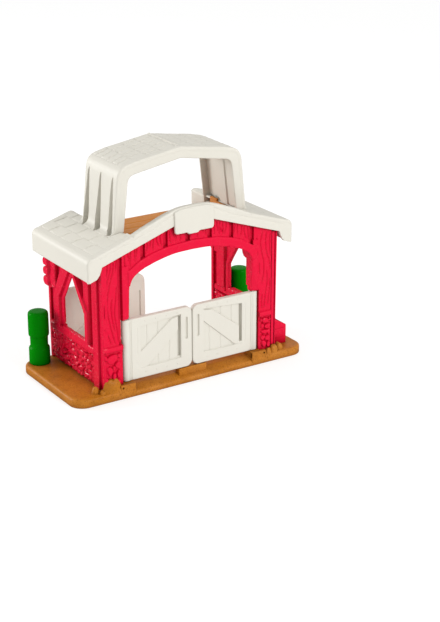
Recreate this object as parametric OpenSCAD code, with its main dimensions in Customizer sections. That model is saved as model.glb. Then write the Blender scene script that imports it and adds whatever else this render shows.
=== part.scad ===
// Toy barn with two swinging front doors, a rear gate, a loft tray and a
// carry handle over an open roof. Front faces -Y, floor at Z = 0.

/* [Base] */
// Width of the base plate, left to right
base_w = 200; // [190:1:220]
// Depth of the base plate, front to back
base_d = 90; // [88:1:100]
// Height of the base plate's top face
base_h = 6.7; // [6.2:0.1:7.5]
// Corner radius of the base plate
base_corner_r = 11; // [8:1:14]
// Height of the front edge of the entry ramp
ramp_low = 4; // [3.8:0.1:5]
// Height of the pads that carry the front doors
pad_top = 10.6; // [10:0.1:10.8]

/* [Walls] */
// Half width over the side walls
wall_half_w = 74.5; // [74:0.1:76]
// Front face of the front wall
wall_front_y = -41.1; // [-41.5:0.1:-41]
// Back edge of the side walls
wall_back_y = 43.5; // [42.5:0.5:44]
// Wall thickness of the red mouldings
wall_t = 3; // [2.6:0.1:3.4]
// Half width of the arch above the doors
arch_half_w = 52.7; // [52:0.1:53.5]
// Height of the top of the arch
arch_top = 102.4; // [101:0.1:103]
// Bottom of the side windows
window_sill = 39.5; // [39:0.1:40.5]

/* [Doors] */
// Height of each front door leaf
door_h = 47.3; // [46.5:0.1:47.4]
// Thickness of a door leaf
door_t = 4.2; // [3.8:0.1:4.4]
// Distance of each door hinge from the centre line
hinge_x = 55.1; // [55:0.1:55.3]
// Diameter of the hinge pins
pin_d = 3; // [2.8:0.1:3.2]
// Radial running clearance on the hinge pins
pin_play = 0.06; // [0.04:0.01:0.09]
// Width of the rear gate
gate_w = 68; // [60:1:72]

/* [Roof] */
// Half width over the eaves
eave_half_w = 87; // [86:0.5:88]
// Height of the lower edge of the eaves
eave_z = 93; // [92:0.5:95]
// Height of the ridge line
ridge_z = 138; // [137:0.5:139]
// Fall of the roof per mm away from the ridge
roof_slope = 0.33; // [0.32:0.005:0.34]
// Half width of the opening between the two roof slopes
well_half_w = 52.5; // [52:0.5:53]
// Thickness of the roof moulding
roof_t = 2.4; // [2:0.1:2.6]

/* [Handle] */
// Height of the top of the handle
handle_top = 175.3; // [174:0.1:178]
// Depth of the handle, front to back
handle_d = 46.6; // [44:0.1:48]

/* [Posts] */
// Radius of the thick sections of the corner posts
post_r = 8; // [7:0.1:8]

/* [Hidden] */
$fn = 48;

red = [0.86, 0.06, 0.18];
brown = [0.66, 0.38, 0.14];
cream = [0.91, 0.9, 0.84];
green = [0.02, 0.5, 0.05];
steel = [0.7, 0.71, 0.73];

door_z = 11.1;                       // underside of the door leaves
door_y = -40.5;                      // front face of the door leaves
hinge_y = -38;                       // hinge line of the front doors
barrel_r = 3.1;
housing_z = door_z + door_h + 0.5;   // underside of the arch above the hinges
pier_in = 59.8;                      // inner face of the front piers
wall_h = 96.3;                       // height of the side walls above the base
fascia_y0 = -43.7;
fascia_y1 = wall_front_y - 0.1;
roof_back_y = 43.3;
strip_back_y = -33;
skin = 2.5;
gate_x = -66.2;                      // hinge line of the rear gate
gate_y = 38.9;
gate_z = 11.1;
gate_h = 48.7;
tray_z = 105;                        // top face of the loft floor
hl_y0 = -26.7;                       // front face of the handle
hl_y1 = hl_y0 + handle_d;
hl_rise = handle_top - 175.3;

// Outline drawn in X and Z, extruded from y0 to y1
module xz(y0, y1) translate([0, y1, 0]) rotate([90, 0, 0]) linear_extrude(height = y1 - y0) children();
// Outline drawn in Y and Z, extruded from x0 to x1
module yz(x0, x1) translate([x0, 0, 0]) rotate([90, 0, 90]) linear_extrude(height = x1 - x0) children();
// The same thing on both sides of the centre line
module both() { children(); mirror([1, 0, 0]) children(); }
// Self-tapping screw, head at z = 0, pointing up
module screw(len, d = 2.6, head = 5.2) {
    difference() {
        cylinder(h = 1.6, d = head);
        for (a = [0, 90]) rotate([0, 0, a]) translate([-1.5, -0.3, -0.1]) cube([3, 0.6, 0.9]);
    }
    translate([0, 0, 1.6]) cylinder(h = len - 1.6, d = d);
}
function roof_at(x) = min(ridge_z - roof_slope * abs(x), ridge_z - 2.4);
function arc(cx, cy, r, a0, a1, n) = [for (i = [0:n]) [cx + r * cos(a0 + (a1 - a0) * i / n), cy + r * sin(a0 + (a1 - a0) * i / n)]];

// ---------------------------------------------------------------- base
base_bolts = [[-66, -34], [66, -34], [-68, 0], [68, 0], [-68, 30], [68, 30]];
module base_outline(inset = 0) {
    hw = base_w / 2 - inset; hd = base_d / 2 - inset; r = base_corner_r - inset;
    polygon(concat(arc(hw - r, hd - r, r, 0, 90, 12), arc(-hw + r, hd - r, r, 90, 180, 12),
        arc(-hw + r, -hd + r, r, 180, 270, 12), arc(hw - r, -hd + r, r, 270, 360, 12)));
}
post_at = [[-88, 36.2, 40.6], [89.5, 31.5, 43.3]];
module rocks() difference() {
    for (k = [[-80.5, -36, 3.2, 11.5], [-75.5, -42, 2.8, 12.5], [-70.4, -42.3, 2.6, 16.6], [-66, -42, 2.9, 14.6], [-62.3, -42.4, 2.4, 10.5],
              [63.5, -42.4, 2.4, 10.5], [67.5, -42, 2.8, 14], [72.5, -42.3, 2.6, 14.4], [78, -40, 3, 10.5]])
        translate([k[0], k[1], 1]) cylinder(h = k[3] - 1, r = k[2], $fn = 7);
    // the piers stand behind the rocks
    translate([-wall_half_w - 1.3, wall_front_y - 0.7, base_h]) cube([2 * wall_half_w + 2.6, 80, 30]);
}
module base_plate() color(brown) difference() {
    union() {
        difference() {
            union() {
                linear_extrude(height = base_h - 0.8) base_outline();
                translate([0, 0, base_h - 1]) linear_extrude(height = 1) base_outline(0.8);
            }
            // entry ramp
            yz(-50.9, 50.9) polygon([[-46, ramp_low], [-45, ramp_low], [-37, base_h], [-37, base_h + 1], [-46, base_h + 1]]);
        }
        // pads under the door hinges
        both() translate([51, -44.9, 1]) cube([12.5, 3, pad_top - 1]);
        both() translate([51, -44.9, 1]) cube([8.6, 11, pad_top - 1]);
        // step under the meeting edge of the doors
        translate([-12, -40.9, 1]) cube([24, 6, 9.7]);
        // socket under the rear gate hinge
        translate([gate_x - 3.4, gate_y - 3.4, 1]) cube([6.8, 6.8, gate_z - 1.5]);
        rocks();
    }
    // hinge pin sockets
    for (s = [-1, 1]) translate([s * hinge_x, hinge_y, 2]) cylinder(h = 12, d = pin_d);
    translate([gate_x, gate_y, 2]) cylinder(h = 12, d = pin_d);
    // screw holes with counterbores
    for (p = concat(base_bolts, [for (q = post_at) [q[0], q[1]]], [[84, -20]])) translate([p[0], p[1], -1]) {
        cylinder(h = 12, d = 2.6);
        cylinder(h = 2.9, d = 6);
    }
    // weight-saving pockets in the underside
    for (x = [-50, -25, 0, 25, 50]) for (y = [-14, 16])
        translate([x - 11.3, y - 13.5, -1]) cube([22.6, 27, 4.8]);
    for (x = [-85, 85]) translate([x - 9, -5, -1]) cube([18, 24, 4.8]);
}
module base_screws() color(steel)
    for (p = base_bolts) translate([p[0], p[1], 0.3]) screw(12.5);

// ---------------------------------------------------------------- walls
// Half outline of the arch: three radii, from the hinge housing to the crown
arch_half = concat([[0, arch_top]], [for (x = [8:8:40]) [x, arch_top - (1 - cos(x * 0.5)) * 115]],
    arc(arch_half_w - 11, arch_top - 19.9, 11, 76, 0, 8), [[arch_half_w, housing_z]]);
module arch_shape(extra = 0, floor_z = 0) {
    pts = [for (p = arch_half) [p[0] + extra, p[1] + (p[1] > housing_z + 1 ? extra : 0)]];
    polygon(concat([for (p = pts) p], [[pts[len(pts) - 1][0], floor_z], [-pts[len(pts) - 1][0], floor_z]],
        [for (i = [len(pts) - 1:-1:1]) [-pts[i][0], pts[i][1]]]));
}
module front_outline() polygon([[-wall_half_w, base_h], [wall_half_w, base_h], [wall_half_w, 109.6],
    [52, 117.4], [6.5, 132.4], [-6.5, 132.4], [-52, 117.4], [-wall_half_w, 109.6]]);
gable_bolts = [[30, 121.4], [62, 110.8]];
module front_wall() color(red) difference() {
    union() {
        xz(wall_front_y, wall_front_y + wall_t) difference() {
            front_outline();
            arch_shape(0, housing_z);
            translate([-pier_in, 0]) square([2 * pier_in, housing_z]);
        }
        // hinge housings and return flange of the arch
        xz(wall_front_y, -34.4) difference() {
            arch_shape(2.4, housing_z);
            arch_shape(0, housing_z - 1);
        }
        both() translate([arch_half_w, wall_front_y, housing_z]) cube([8, 6.7, 8]);
        // hollow piers: inner return and outer return
        both() translate([pier_in, wall_front_y, base_h]) cube([2.4, 12, housing_z - base_h]);
        both() translate([wall_half_w - 2.4, wall_front_y, base_h]) cube([2.4, 10, 100]);
        // stone plinth of each pier stands a little proud
        both() translate([pier_in, wall_front_y - 0.6, base_h]) cube([wall_half_w - pier_in, 2, 33]);
        // screw towers, webbed to the piers
        both() translate([66, -34, base_h]) cylinder(h = 14, d = 6.4);
        both() translate([65, -38.6, base_h]) cube([2, 4, 14]);
    }
    for (s = [-1, 1]) translate([s * hinge_x, hinge_y, housing_z - 1]) cylinder(h = 6, d = pin_d);
    for (s = [-1, 1]) translate([s * 66, -34, base_h - 1]) cylinder(h = 9, d = 2.6);
    for (s = [-1, 1]) for (p = gable_bolts) translate([s * p[0], wall_front_y - 1, p[1]]) rotate([-90, 0, 0]) cylinder(h = 6, d = 2.6);
    // blind holes in the outer returns for the side wall screws
    both() for (z = [30, 85]) translate([71, -34.5, z]) rotate([0, 90, 0]) cylinder(h = 3.2, d = 2.6);
}
// Inner moulding that lines the arch behind the front wall
module arch_liner() color(red) difference() {
    xz(-34.3, -24.5) difference() {
        arch_shape(4.6, 52);
        arch_shape(0, 51);
    }
    // the liner's feet stop above the swing of the doors
    translate([-80, -40, 40]) cube([160, 30, housing_z + 1.5 - 40]);
}
// Side wall: outer face at +wall_half_w, window with a pointed head
module window_shape(grow = 0) polygon([[-15.5 - grow, window_sill - grow], [19.8 + grow, window_sill - grow],
    [19.8 + grow, 59.5 + grow * 0.4], [3, 85 + grow * 1.4], [-15.5 - grow, 59.5 + grow * 0.4]]);
module side_wall() difference() {
    union() {
        yz(wall_half_w - 3, wall_half_w) difference() {
            translate([-31, base_h]) square([wall_back_y + 31, wall_h]);
            window_shape(3.2);
        }
        // thin window frame that stands proud of the wall
        yz(wall_half_w - 1, wall_half_w + 2) difference() {
            window_shape(4.6);
            window_shape();
        }
        // sill rail and rubble plinth below it
        translate([wall_half_w - 0.4, -31, 34]) cube([2, wall_back_y + 31, 3.6]);
        translate([wall_half_w - 0.4, -31, base_h]) cube([1.2, wall_back_y + 31, 28]);
        // back post, front pilaster, and the lobed capital at the back corner
        translate([wall_half_w - 4, wall_back_y - 3, base_h]) cube([4.4, 3, wall_h]);
        translate([wall_half_w - 0.4, -31, base_h]) cube([1, 7, wall_h]);
        translate([wall_half_w - 4, 30, 60]) cube([6, wall_back_y - 30, 38]);
        for (z = [64, 72, 80, 88])
            translate([wall_half_w - 3, wall_back_y - 3, z]) rotate([0, 90, 0]) cylinder(h = 6, r = 4.4);
        // towers for the base screws
        for (y = [0, 30]) translate([68, y, base_h]) cylinder(h = 12, d = 6.4);
        for (y = [0, 30]) translate([68, y - 2, base_h]) cube([5, 4, 12]);
        // lap flange behind the front wall's return
        translate([wall_half_w - 4.9, -37, base_h]) cube([2.4, 8, wall_h]);
    }
    for (y = [0, 30]) translate([68, y, base_h - 1]) cylinder(h = 9, d = 2.6);
    // screw holes toward the front wall's returns
    for (z = [30, 85]) translate([wall_half_w - 8, -34.5, z]) rotate([0, 90, 0]) cylinder(h = 8, d = 2.6);
}
module right_side_wall() color(red) difference() {
    side_wall();
    for (y = [-24, -16]) translate([66, y, 20]) rotate([0, 90, 0]) cylinder(h = 14, d = 2.4);
}
module left_side_wall() color(red) difference() {
    union() {
        mirror([1, 0, 0]) side_wall();
        // ear that carries the top of the rear gate pin
        translate([-wall_half_w + 2, gate_y - 3.4, gate_z + gate_h + 0.4]) cube([wall_half_w - 2 + gate_x + 3.4, 6.8, 5]);
    }
    translate([gate_x, gate_y, gate_z + gate_h]) cylinder(h = 4.4, d = pin_d);
}
module side_wall_screws() color(steel) both()
    for (z = [30, 85]) translate([wall_half_w - 6.5, -34.5, z]) rotate([0, 90, 0]) screw(6, 2.6, 4.6);

// ---------------------------------------------------------------- front doors
module leaf_outline(w, h, r) polygon(concat([[0, 0]], arc(w - r, r, r, 270, 360, 8), arc(w - r, h - r, r, 0, 90, 8), [[0, h]]));
// Door leaf with its hinge barrel on the origin, running to +X
module front_leaf(w) difference() {
    union() {
        translate([1.5, door_y - hinge_y, 0]) translate([0, door_t, 0]) rotate([90, 0, 0]) linear_extrude(height = door_t) leaf_outline(w - 1.5, door_h, 5);
        cylinder(h = door_h, r = barrel_r);
    }
    // recessed panel, front and back
    for (y = [door_y - hinge_y - 1, door_y - hinge_y + door_t - 0.9]) translate([9.8, y, 8.4]) cube([w - 20, 1.9, door_h - 15.6]);
    translate([0, 0, -1]) cylinder(h = door_h + 2, d = pin_d + 2 * pin_play);
}
module left_front_door() color(cream) translate([-hinge_x, hinge_y, door_z]) front_leaf(hinge_x - 0.25);
module right_front_door() color(cream) mirror([1, 0, 0]) translate([-hinge_x, hinge_y, door_z]) front_leaf(hinge_x - 0.25);
module door_pin() translate([-hinge_x, hinge_y, 2.4]) cylinder(h = housing_z + 4 - 2.4, d = pin_d);
module left_door_pin() color(steel) door_pin();
module right_door_pin() color(steel) mirror([1, 0, 0]) door_pin();

// ---------------------------------------------------------------- rear gate
module rear_gate() color(cream) translate([gate_x, gate_y, gate_z]) difference() {
    union() {
        translate([1.5, 2.1, 0]) rotate([90, 0, 0]) linear_extrude(height = 4.2) leaf_outline(gate_w + 1.7, gate_h, 6);
        cylinder(h = gate_h, r = barrel_r);
    }
    translate([9, -3.1, 6]) cube([gate_w - 12, 2.6, gate_h - 12]);
    translate([0, 0, -1]) cylinder(h = gate_h + 2, d = pin_d + 2 * pin_play);
}
// Pin from the base up into the ear of the left side wall
module rear_gate_pin() color(steel) translate([gate_x, gate_y, 2.4]) {
    cylinder(h = gate_z + gate_h + 3 - 2.4, d = pin_d);
}

// ---------------------------------------------------------------- feed trough
module feed_trough() color(red) difference() {
    yz(wall_half_w + 1, 91) polygon([[-32.5, base_h], [-7.5, base_h], [-7.5, 27], [-32.5, 27]]);
    // top slopes down away from the wall
    translate([0, -40, 0]) xz(0, 50) polygon([[70, 30], [70, 28.5], [81, 27], [92, 21], [92, 30]]);
    // hollow
    translate([wall_half_w + 3, -30.5, 10]) cube([91 - wall_half_w - 5, 21, 30]);
    for (y = [-24, -16]) translate([74, y, 20]) rotate([0, 90, 0]) cylinder(h = 4.4, d = 2.4);
    translate([84, -20, base_h - 1]) cylinder(h = 5, d = 2.6);
}
module trough_screws() color(steel) {
    translate([84, -20, 0.3]) screw(9.2);
    for (y = [-24, -16]) translate([wall_half_w - 4.6, y, 20]) rotate([0, 90, 0]) screw(7.6, 2.4, 4.4);
}

// ---------------------------------------------------------------- loft tray
module loft_tray() color(brown) difference() {
    union() {
        translate([-68, -24.2, tray_z - 2.4]) cube([136, 65.9, 2.4]);
        both() translate([well_half_w - 4.5, -24.2, tray_z - 1]) cube([2, 38.2, 15.6]);
        // raised shelf that runs forward over the crown of the arch
        translate([-well_half_w + 2.5, -24.2, tray_z - 2.4]) cube([2 * well_half_w - 5, 2, 6.8]);
        translate([-well_half_w + 2.5, -37.9, tray_z + 2.3]) cube([2 * well_half_w - 5, 15, 2.1]);
        translate([-68, 39.7, tray_z - 4.5]) cube([136, 2, 4.5]);
    }
    for (s = [-1, 1]) for (y = [-20, 30]) translate([s * 64, y, 95]) cylinder(h = 14, d = 2.6);
}
module tray_screws() color(steel) both()
    for (y = [-20, 30]) translate([64, y, tray_z - 4]) screw(12, 2.6, 5.2);

// ---------------------------------------------------------------- roof
slope_out = concat([[well_half_w - 2.4, roof_at(well_half_w - 2.4)], [82, roof_at(82)]],
    arc(eave_half_w - 5.2, roof_at(82) - 5, 5.2, 66, 0, 6), [[eave_half_w, eave_z]]);
slope_in = concat([[eave_half_w - roof_t, eave_z]], arc(eave_half_w - 5.2, roof_at(82) - 5, 5.2 - roof_t, 0, 66, 4),
    [[well_half_w - 2.4, roof_at(well_half_w - 2.4) - roof_t]]);
gable_low = [[eave_half_w, eave_z], [79, eave_z + 2], [76.3, eave_z + 7], [75.3, 103.4], [0, 128.4]];
module gable_half() polygon(concat([for (p = slope_out) p], gable_low, [[0, roof_at(0)], [7.27, roof_at(0)]]));
module back_half() polygon(concat([for (p = slope_out) p], [[79, eave_z + 2], [76.3, eave_z + 7], [75.3, 103.4],
    [well_half_w - 2.4, 108]]));
module roof_shell() color(cream) difference() {
    union() {
        both() xz(fascia_y0, roof_back_y) polygon(concat(slope_out, slope_in));
        both() xz(fascia_y0, fascia_y1) gable_half();
        both() xz(roof_back_y - 1.5, roof_back_y) back_half();
        // front strip over the wall
        both() xz(fascia_y0, strip_back_y) polygon([[0, roof_at(0)], [7.27, roof_at(0)], [well_half_w, roof_at(well_half_w)],
            [well_half_w, roof_at(well_half_w) - roof_t], [6.5, roof_at(0) - roof_t], [0, roof_at(0) - roof_t]]);
        // side walls of the open well
        both() translate([well_half_w - 2.4, -31, tray_z + 1]) cube([2.4, roof_back_y + 31, roof_at(well_half_w) - tray_z - 2]);
        // screw towers under the slopes
        both() for (y = [-20, 30]) translate([64, y, tray_z]) cylinder(h = roof_at(64) - tray_z - 1, d = 6.4);
        both() for (y = [-16, 9]) translate([54.2, y, tray_z + 2]) cylinder(h = roof_at(54.2) - tray_z - 3, d = 7);
    }
    for (s = [-1, 1]) for (y = [-20, 30]) translate([s * 64, y, tray_z - 1]) cylinder(h = 9.2, d = 2.6);
    for (s = [-1, 1]) for (y = [-16, 9]) translate([s * 54.2, y, tray_z]) { cylinder(h = 20, d = 2.6); cylinder(h = 7.1, d = 5.4); }
    for (s = [-1, 1]) for (p = gable_bolts) translate([s * p[0], fascia_y1 - 1.8, p[1]]) rotate([-90, 0, 0]) cylinder(h = 3, d = 2.6);
}
module roof_screws() color(steel) both()
    for (p = gable_bolts) translate([p[0], wall_front_y + wall_t + 1.6, p[1]]) rotate([90, 0, 0]) screw(6.2, 2.6, 4.8);

// Plate on the front of the gable
module sign_plate() color(cream) xz(fascia_y0 - 1.3, fascia_y0) polygon(concat(
    [[-4.5, 115.3], [2.5, 115.3], [4.5, 116.7]], arc(14, 118.7, 2, 270, 350, 5), arc(0, 96, 38.6, 64.5, 115.5, 8),
    arc(-14, 118.7, 2, 190, 270, 5), [[-6.5, 116.7]]));

// ---------------------------------------------------------------- handle
handle_outer = concat([[0, handle_top], [37, 169.6 + hl_rise], [46, 167.4 + hl_rise]], arc(48.6, 162.6 + hl_rise, 4.6, 70, 4, 5),
    [[56.1, 122.6], [57, 120.3], [60, roof_at(60) + 0.3], [60, roof_at(60) + 0.1], [50, roof_at(50) + 0.1], [49.9, 119.3]]);
handle_inner = concat([[47.9, 119.3]], arc(39.8, 155.8 + hl_rise, 4, 0, 78, 5), [[0, 166.6 + hl_rise]]);
module handle_half(o, i) polygon(concat(o, i));
handle_core_o = concat([[0, handle_top - skin], [36.6, 167.1 + hl_rise], [45.2, 165 + hl_rise], [50.6, 162 + hl_rise], [54, 119.2]]);
module handle_shell() color(cream) difference() {
    union() {
        difference() {
            both() xz(hl_y0, hl_y1) handle_half(handle_outer, handle_inner);
            // channel, open toward the hand
            both() xz(hl_y0 + skin, hl_y1 - skin) polygon(concat(handle_core_o, [[47, 118]], [[43, 150]], [[39, 158 + hl_rise]], [[-1, 165 + hl_rise]], [[-1, handle_top - skin]]));
        }
        // screw towers in the feet
        both() for (y = [-16, 9]) translate([54.2, y, roof_at(51) + 0.1]) intersection() {
            cylinder(h = 14, d = 5.6);
            translate([-3, -3, 0]) cube([3.4, 6, 14]);
        }
    }
    // flutes on the outside of the legs
    both() for (y = [-20.3, -2.4, 15.5]) translate([56.9, y, 119]) rotate([0, -5.5, 0]) translate([-0.9, -3.6, -2]) cube([7, 7.2, 38]);
    for (s = [-1, 1]) for (y = [-16, 9]) translate([s * 54.2, y, 118]) cylinder(h = 12, d = 2.6);
}
// Inner skin of the handle, between the channel's flanges
liner_o = concat([[0, 169.6 + hl_rise], [42, 162.4 + hl_rise], [46.6, 158 + hl_rise], [50.3, 121.8]]);
module handle_liner() color(cream) 
    both() xz(hl_y0 + skin, 4.6) polygon(concat(liner_o, [[49.9, 121.8], [49.7, 120], [48.2, 120]], arc(40.4, 156 + hl_rise, 4, 0, 78, 5), [[0, 167 + hl_rise]]));
module handle_screws() color(steel) both()
    for (y = [-16, 9]) translate([54.2, y, tray_z + 5.5]) screw(17, 2.6, 5);

// ---------------------------------------------------------------- corner posts
module post(h) difference() {
    union() {
        cylinder(h = 13.3, r = post_r);
        translate([0, 0, 13]) cylinder(h = 9.5, r = post_r - 1.2);
        translate([0, 0, 22.3]) cylinder(h = h - 22.3, r = post_r - 0.2);
    }
    translate([0, 0, -1]) cylinder(h = 12, d = 2.6);
}
module left_corner_post() color(green) translate([post_at[0][0], post_at[0][1], base_h]) post(post_at[0][2]);
module right_corner_post() color(green) translate([post_at[1][0], post_at[1][1], base_h]) post(post_at[1][2]);
module post_screws() color(steel) {
    for (q = post_at) translate([q[0], q[1], 0.3]) screw(12.5);
}

base_plate();
base_screws();
front_wall();
arch_liner();
left_side_wall();
right_side_wall();
side_wall_screws();
left_front_door();
right_front_door();
left_door_pin();
right_door_pin();
rear_gate();
rear_gate_pin();
feed_trough();
trough_screws();
loft_tray();
tray_screws();
roof_shell();
roof_screws();
sign_plate();
handle_shell();
handle_liner();
handle_screws();
left_corner_post();
right_corner_post();
post_screws();
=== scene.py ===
import math
import bpy
import numpy as np
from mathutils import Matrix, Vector
from mathutils.geometry import delaunay_2d_cdt


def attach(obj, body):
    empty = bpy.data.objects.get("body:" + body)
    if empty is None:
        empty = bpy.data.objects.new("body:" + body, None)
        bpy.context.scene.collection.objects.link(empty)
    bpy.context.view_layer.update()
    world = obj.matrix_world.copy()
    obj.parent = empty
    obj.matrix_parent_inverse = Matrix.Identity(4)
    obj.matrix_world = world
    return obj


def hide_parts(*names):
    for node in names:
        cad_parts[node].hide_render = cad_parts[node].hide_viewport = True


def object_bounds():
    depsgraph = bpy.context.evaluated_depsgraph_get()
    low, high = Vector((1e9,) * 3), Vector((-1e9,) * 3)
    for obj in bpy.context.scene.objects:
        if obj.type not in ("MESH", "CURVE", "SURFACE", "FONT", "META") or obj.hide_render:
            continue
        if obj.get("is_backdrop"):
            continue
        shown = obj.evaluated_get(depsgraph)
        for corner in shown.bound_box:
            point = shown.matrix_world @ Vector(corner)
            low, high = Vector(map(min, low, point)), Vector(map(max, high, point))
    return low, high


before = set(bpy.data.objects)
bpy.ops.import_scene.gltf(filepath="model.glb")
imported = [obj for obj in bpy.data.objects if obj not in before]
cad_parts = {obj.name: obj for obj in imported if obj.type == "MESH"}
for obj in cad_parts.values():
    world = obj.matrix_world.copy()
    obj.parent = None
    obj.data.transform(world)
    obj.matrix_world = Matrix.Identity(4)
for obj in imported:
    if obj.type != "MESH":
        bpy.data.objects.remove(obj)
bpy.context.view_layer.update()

# Everything below is worked out in millimetres and written to the meshes in metres.


# ------------------------------------------------------------------ 2D helpers
def resample(P, step, closed=True):
    P = np.asarray(P, float)
    out = []
    n = len(P)
    for i in range(n if closed else n - 1):
        a, b = P[i], P[(i + 1) % n]
        k = max(1, int(round(np.linalg.norm(b - a) / step)))
        out += [a + (b - a) * j / k for j in range(k)]
    if not closed:
        out.append(P[-1])
    return np.array(out)


def curve(pts, n=6):
    """Catmull-Rom line through the points."""
    P = np.asarray(pts, float)
    P = np.vstack([2 * P[0] - P[1], P, 2 * P[-1] - P[-2]])
    out = []
    for i in range(1, len(P) - 2):
        a, b, c, d = P[i - 1], P[i], P[i + 1], P[i + 2]
        for j in range(n):
            t = j / n
            out.append(0.5 * (2 * b + (c - a) * t + (2 * a - 5 * b + 4 * c - d) * t * t + (3 * b - a - 3 * c + d) * t ** 3))
    out.append(P[-2])
    return np.array(out)


def seg_dist(P, A, B, chunk=3000):
    D = B - A
    L = np.maximum((D * D).sum(1), 1e-12)
    out = np.empty(len(P))
    for i in range(0, len(P), chunk):
        q = P[i:i + chunk, None, :] - A[None]
        t = np.clip((q * D).sum(2) / L, 0, 1)
        r = q - t[..., None] * D
        out[i:i + chunk] = np.sqrt((r * r).sum(2).min(1))
    return out


def inside(P, loop):
    x, y = P[:, 0], P[:, 1]
    c = np.zeros(len(P), bool)
    for (x0, y0), (x1, y1) in zip(loop, np.roll(loop, -1, 0)):
        if y0 != y1:
            c ^= ((y0 > y) != (y1 > y)) & (x < (x1 - x0) * (y - y0) / (y1 - y0) + x0)
    return c


def area(loop):
    x, y = loop[:, 0], loop[:, 1]
    return 0.5 * (x * np.roll(y, -1) - y * np.roll(x, -1)).sum()


def ccw(loop):
    loop = np.asarray(loop, float)
    return loop if area(loop) > 0 else loop[::-1].copy()


def offset(loop, d):
    """A counter-clockwise loop moved outward by d, with mitred corners."""
    P = np.asarray(loop, float)
    e1 = P - np.roll(P, 1, 0)
    e2 = np.roll(P, -1, 0) - P
    e1 /= np.maximum(np.linalg.norm(e1, axis=1), 1e-9)[:, None]
    e2 /= np.maximum(np.linalg.norm(e2, axis=1), 1e-9)[:, None]
    n1 = np.c_[e1[:, 1], -e1[:, 0]]
    m = n1 + np.c_[e2[:, 1], -e2[:, 0]]
    m /= np.maximum(np.linalg.norm(m, axis=1), 1e-9)[:, None]
    s = 1 / np.maximum((m * n1).sum(1), 0.4)
    return P + m * s[:, None] * d


def side_of(line, d):
    """An open line moved sideways by d."""
    P = np.asarray(line, float)
    g = np.gradient(P, axis=0)
    g /= np.maximum(np.linalg.norm(g, axis=1), 1e-9)[:, None]
    return P + np.c_[g[:, 1], -g[:, 0]] * d


def arc(cx, cy, r, a0, a1, n=8):
    a = np.radians(np.linspace(a0, a1, n + 1))
    return np.c_[cx + r * np.cos(a), cy + r * np.sin(a)]


def rect(x0, x1, y0, y1, r=0.0, n=4):
    if r <= 0:
        return np.array([(x0, y0), (x1, y0), (x1, y1), (x0, y1)], float)
    return np.vstack([arc(x1 - r, y0 + r, r, 270, 360, n), arc(x1 - r, y1 - r, r, 0, 90, n),
                      arc(x0 + r, y1 - r, r, 90, 180, n), arc(x0 + r, y0 + r, r, 180, 270, n)])


def both_ways(half):
    """(x, z) points from the centre line outward, continued on the other side, left to right."""
    h = np.asarray(half, float)
    return np.vstack([h[::-1] * [-1, 1], h[1:] if abs(h[0][0]) < 1e-9 else h])


def value_noise(P, scale, seed):
    rng = np.random.default_rng(seed)
    G = rng.random((64, 64))
    q = P / scale + 1000.0
    i = np.floor(q).astype(int)
    f = q - i
    f = f * f * (3 - 2 * f)
    a, b = i % 64, (i + 1) % 64
    return (G[a[:, 0], a[:, 1]] * (1 - f[:, 0]) * (1 - f[:, 1]) + G[b[:, 0], a[:, 1]] * f[:, 0] * (1 - f[:, 1])
            + G[a[:, 0], b[:, 1]] * (1 - f[:, 0]) * f[:, 1] + G[b[:, 0], b[:, 1]] * f[:, 0] * f[:, 1])


def cobbles(P, size, seed, stretch=1.25):
    """Packed rounded stones: 0 in the joints, 1 on top of each stone, and a height of its own per stone."""
    rng = np.random.default_rng(seed)
    J = rng.random((64, 64, 2)) * 0.8 + 0.1
    H = rng.random((64, 64))
    q = P / np.array([size * stretch, size]) + 500.0
    c = np.floor(q).astype(int)
    best = np.full(len(P), 9.0)
    second = np.full(len(P), 9.0)
    own = np.zeros(len(P))
    for dx in (-1, 0, 1):
        for dy in (-1, 0, 1):
            k = c + [dx, dy]
            s = k + J[k[:, 0] % 64, k[:, 1] % 64]
            d = np.linalg.norm(q - s, axis=1)
            closer = d < best
            second = np.where(closer, best, np.minimum(second, d))
            own = np.where(closer, H[k[:, 0] % 64, k[:, 1] % 64], own)
            best = np.where(closer, d, best)
    t = np.clip((second - best) / 0.45, 0, 1)
    return np.sqrt(1 - (1 - t) ** 2), own


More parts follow.
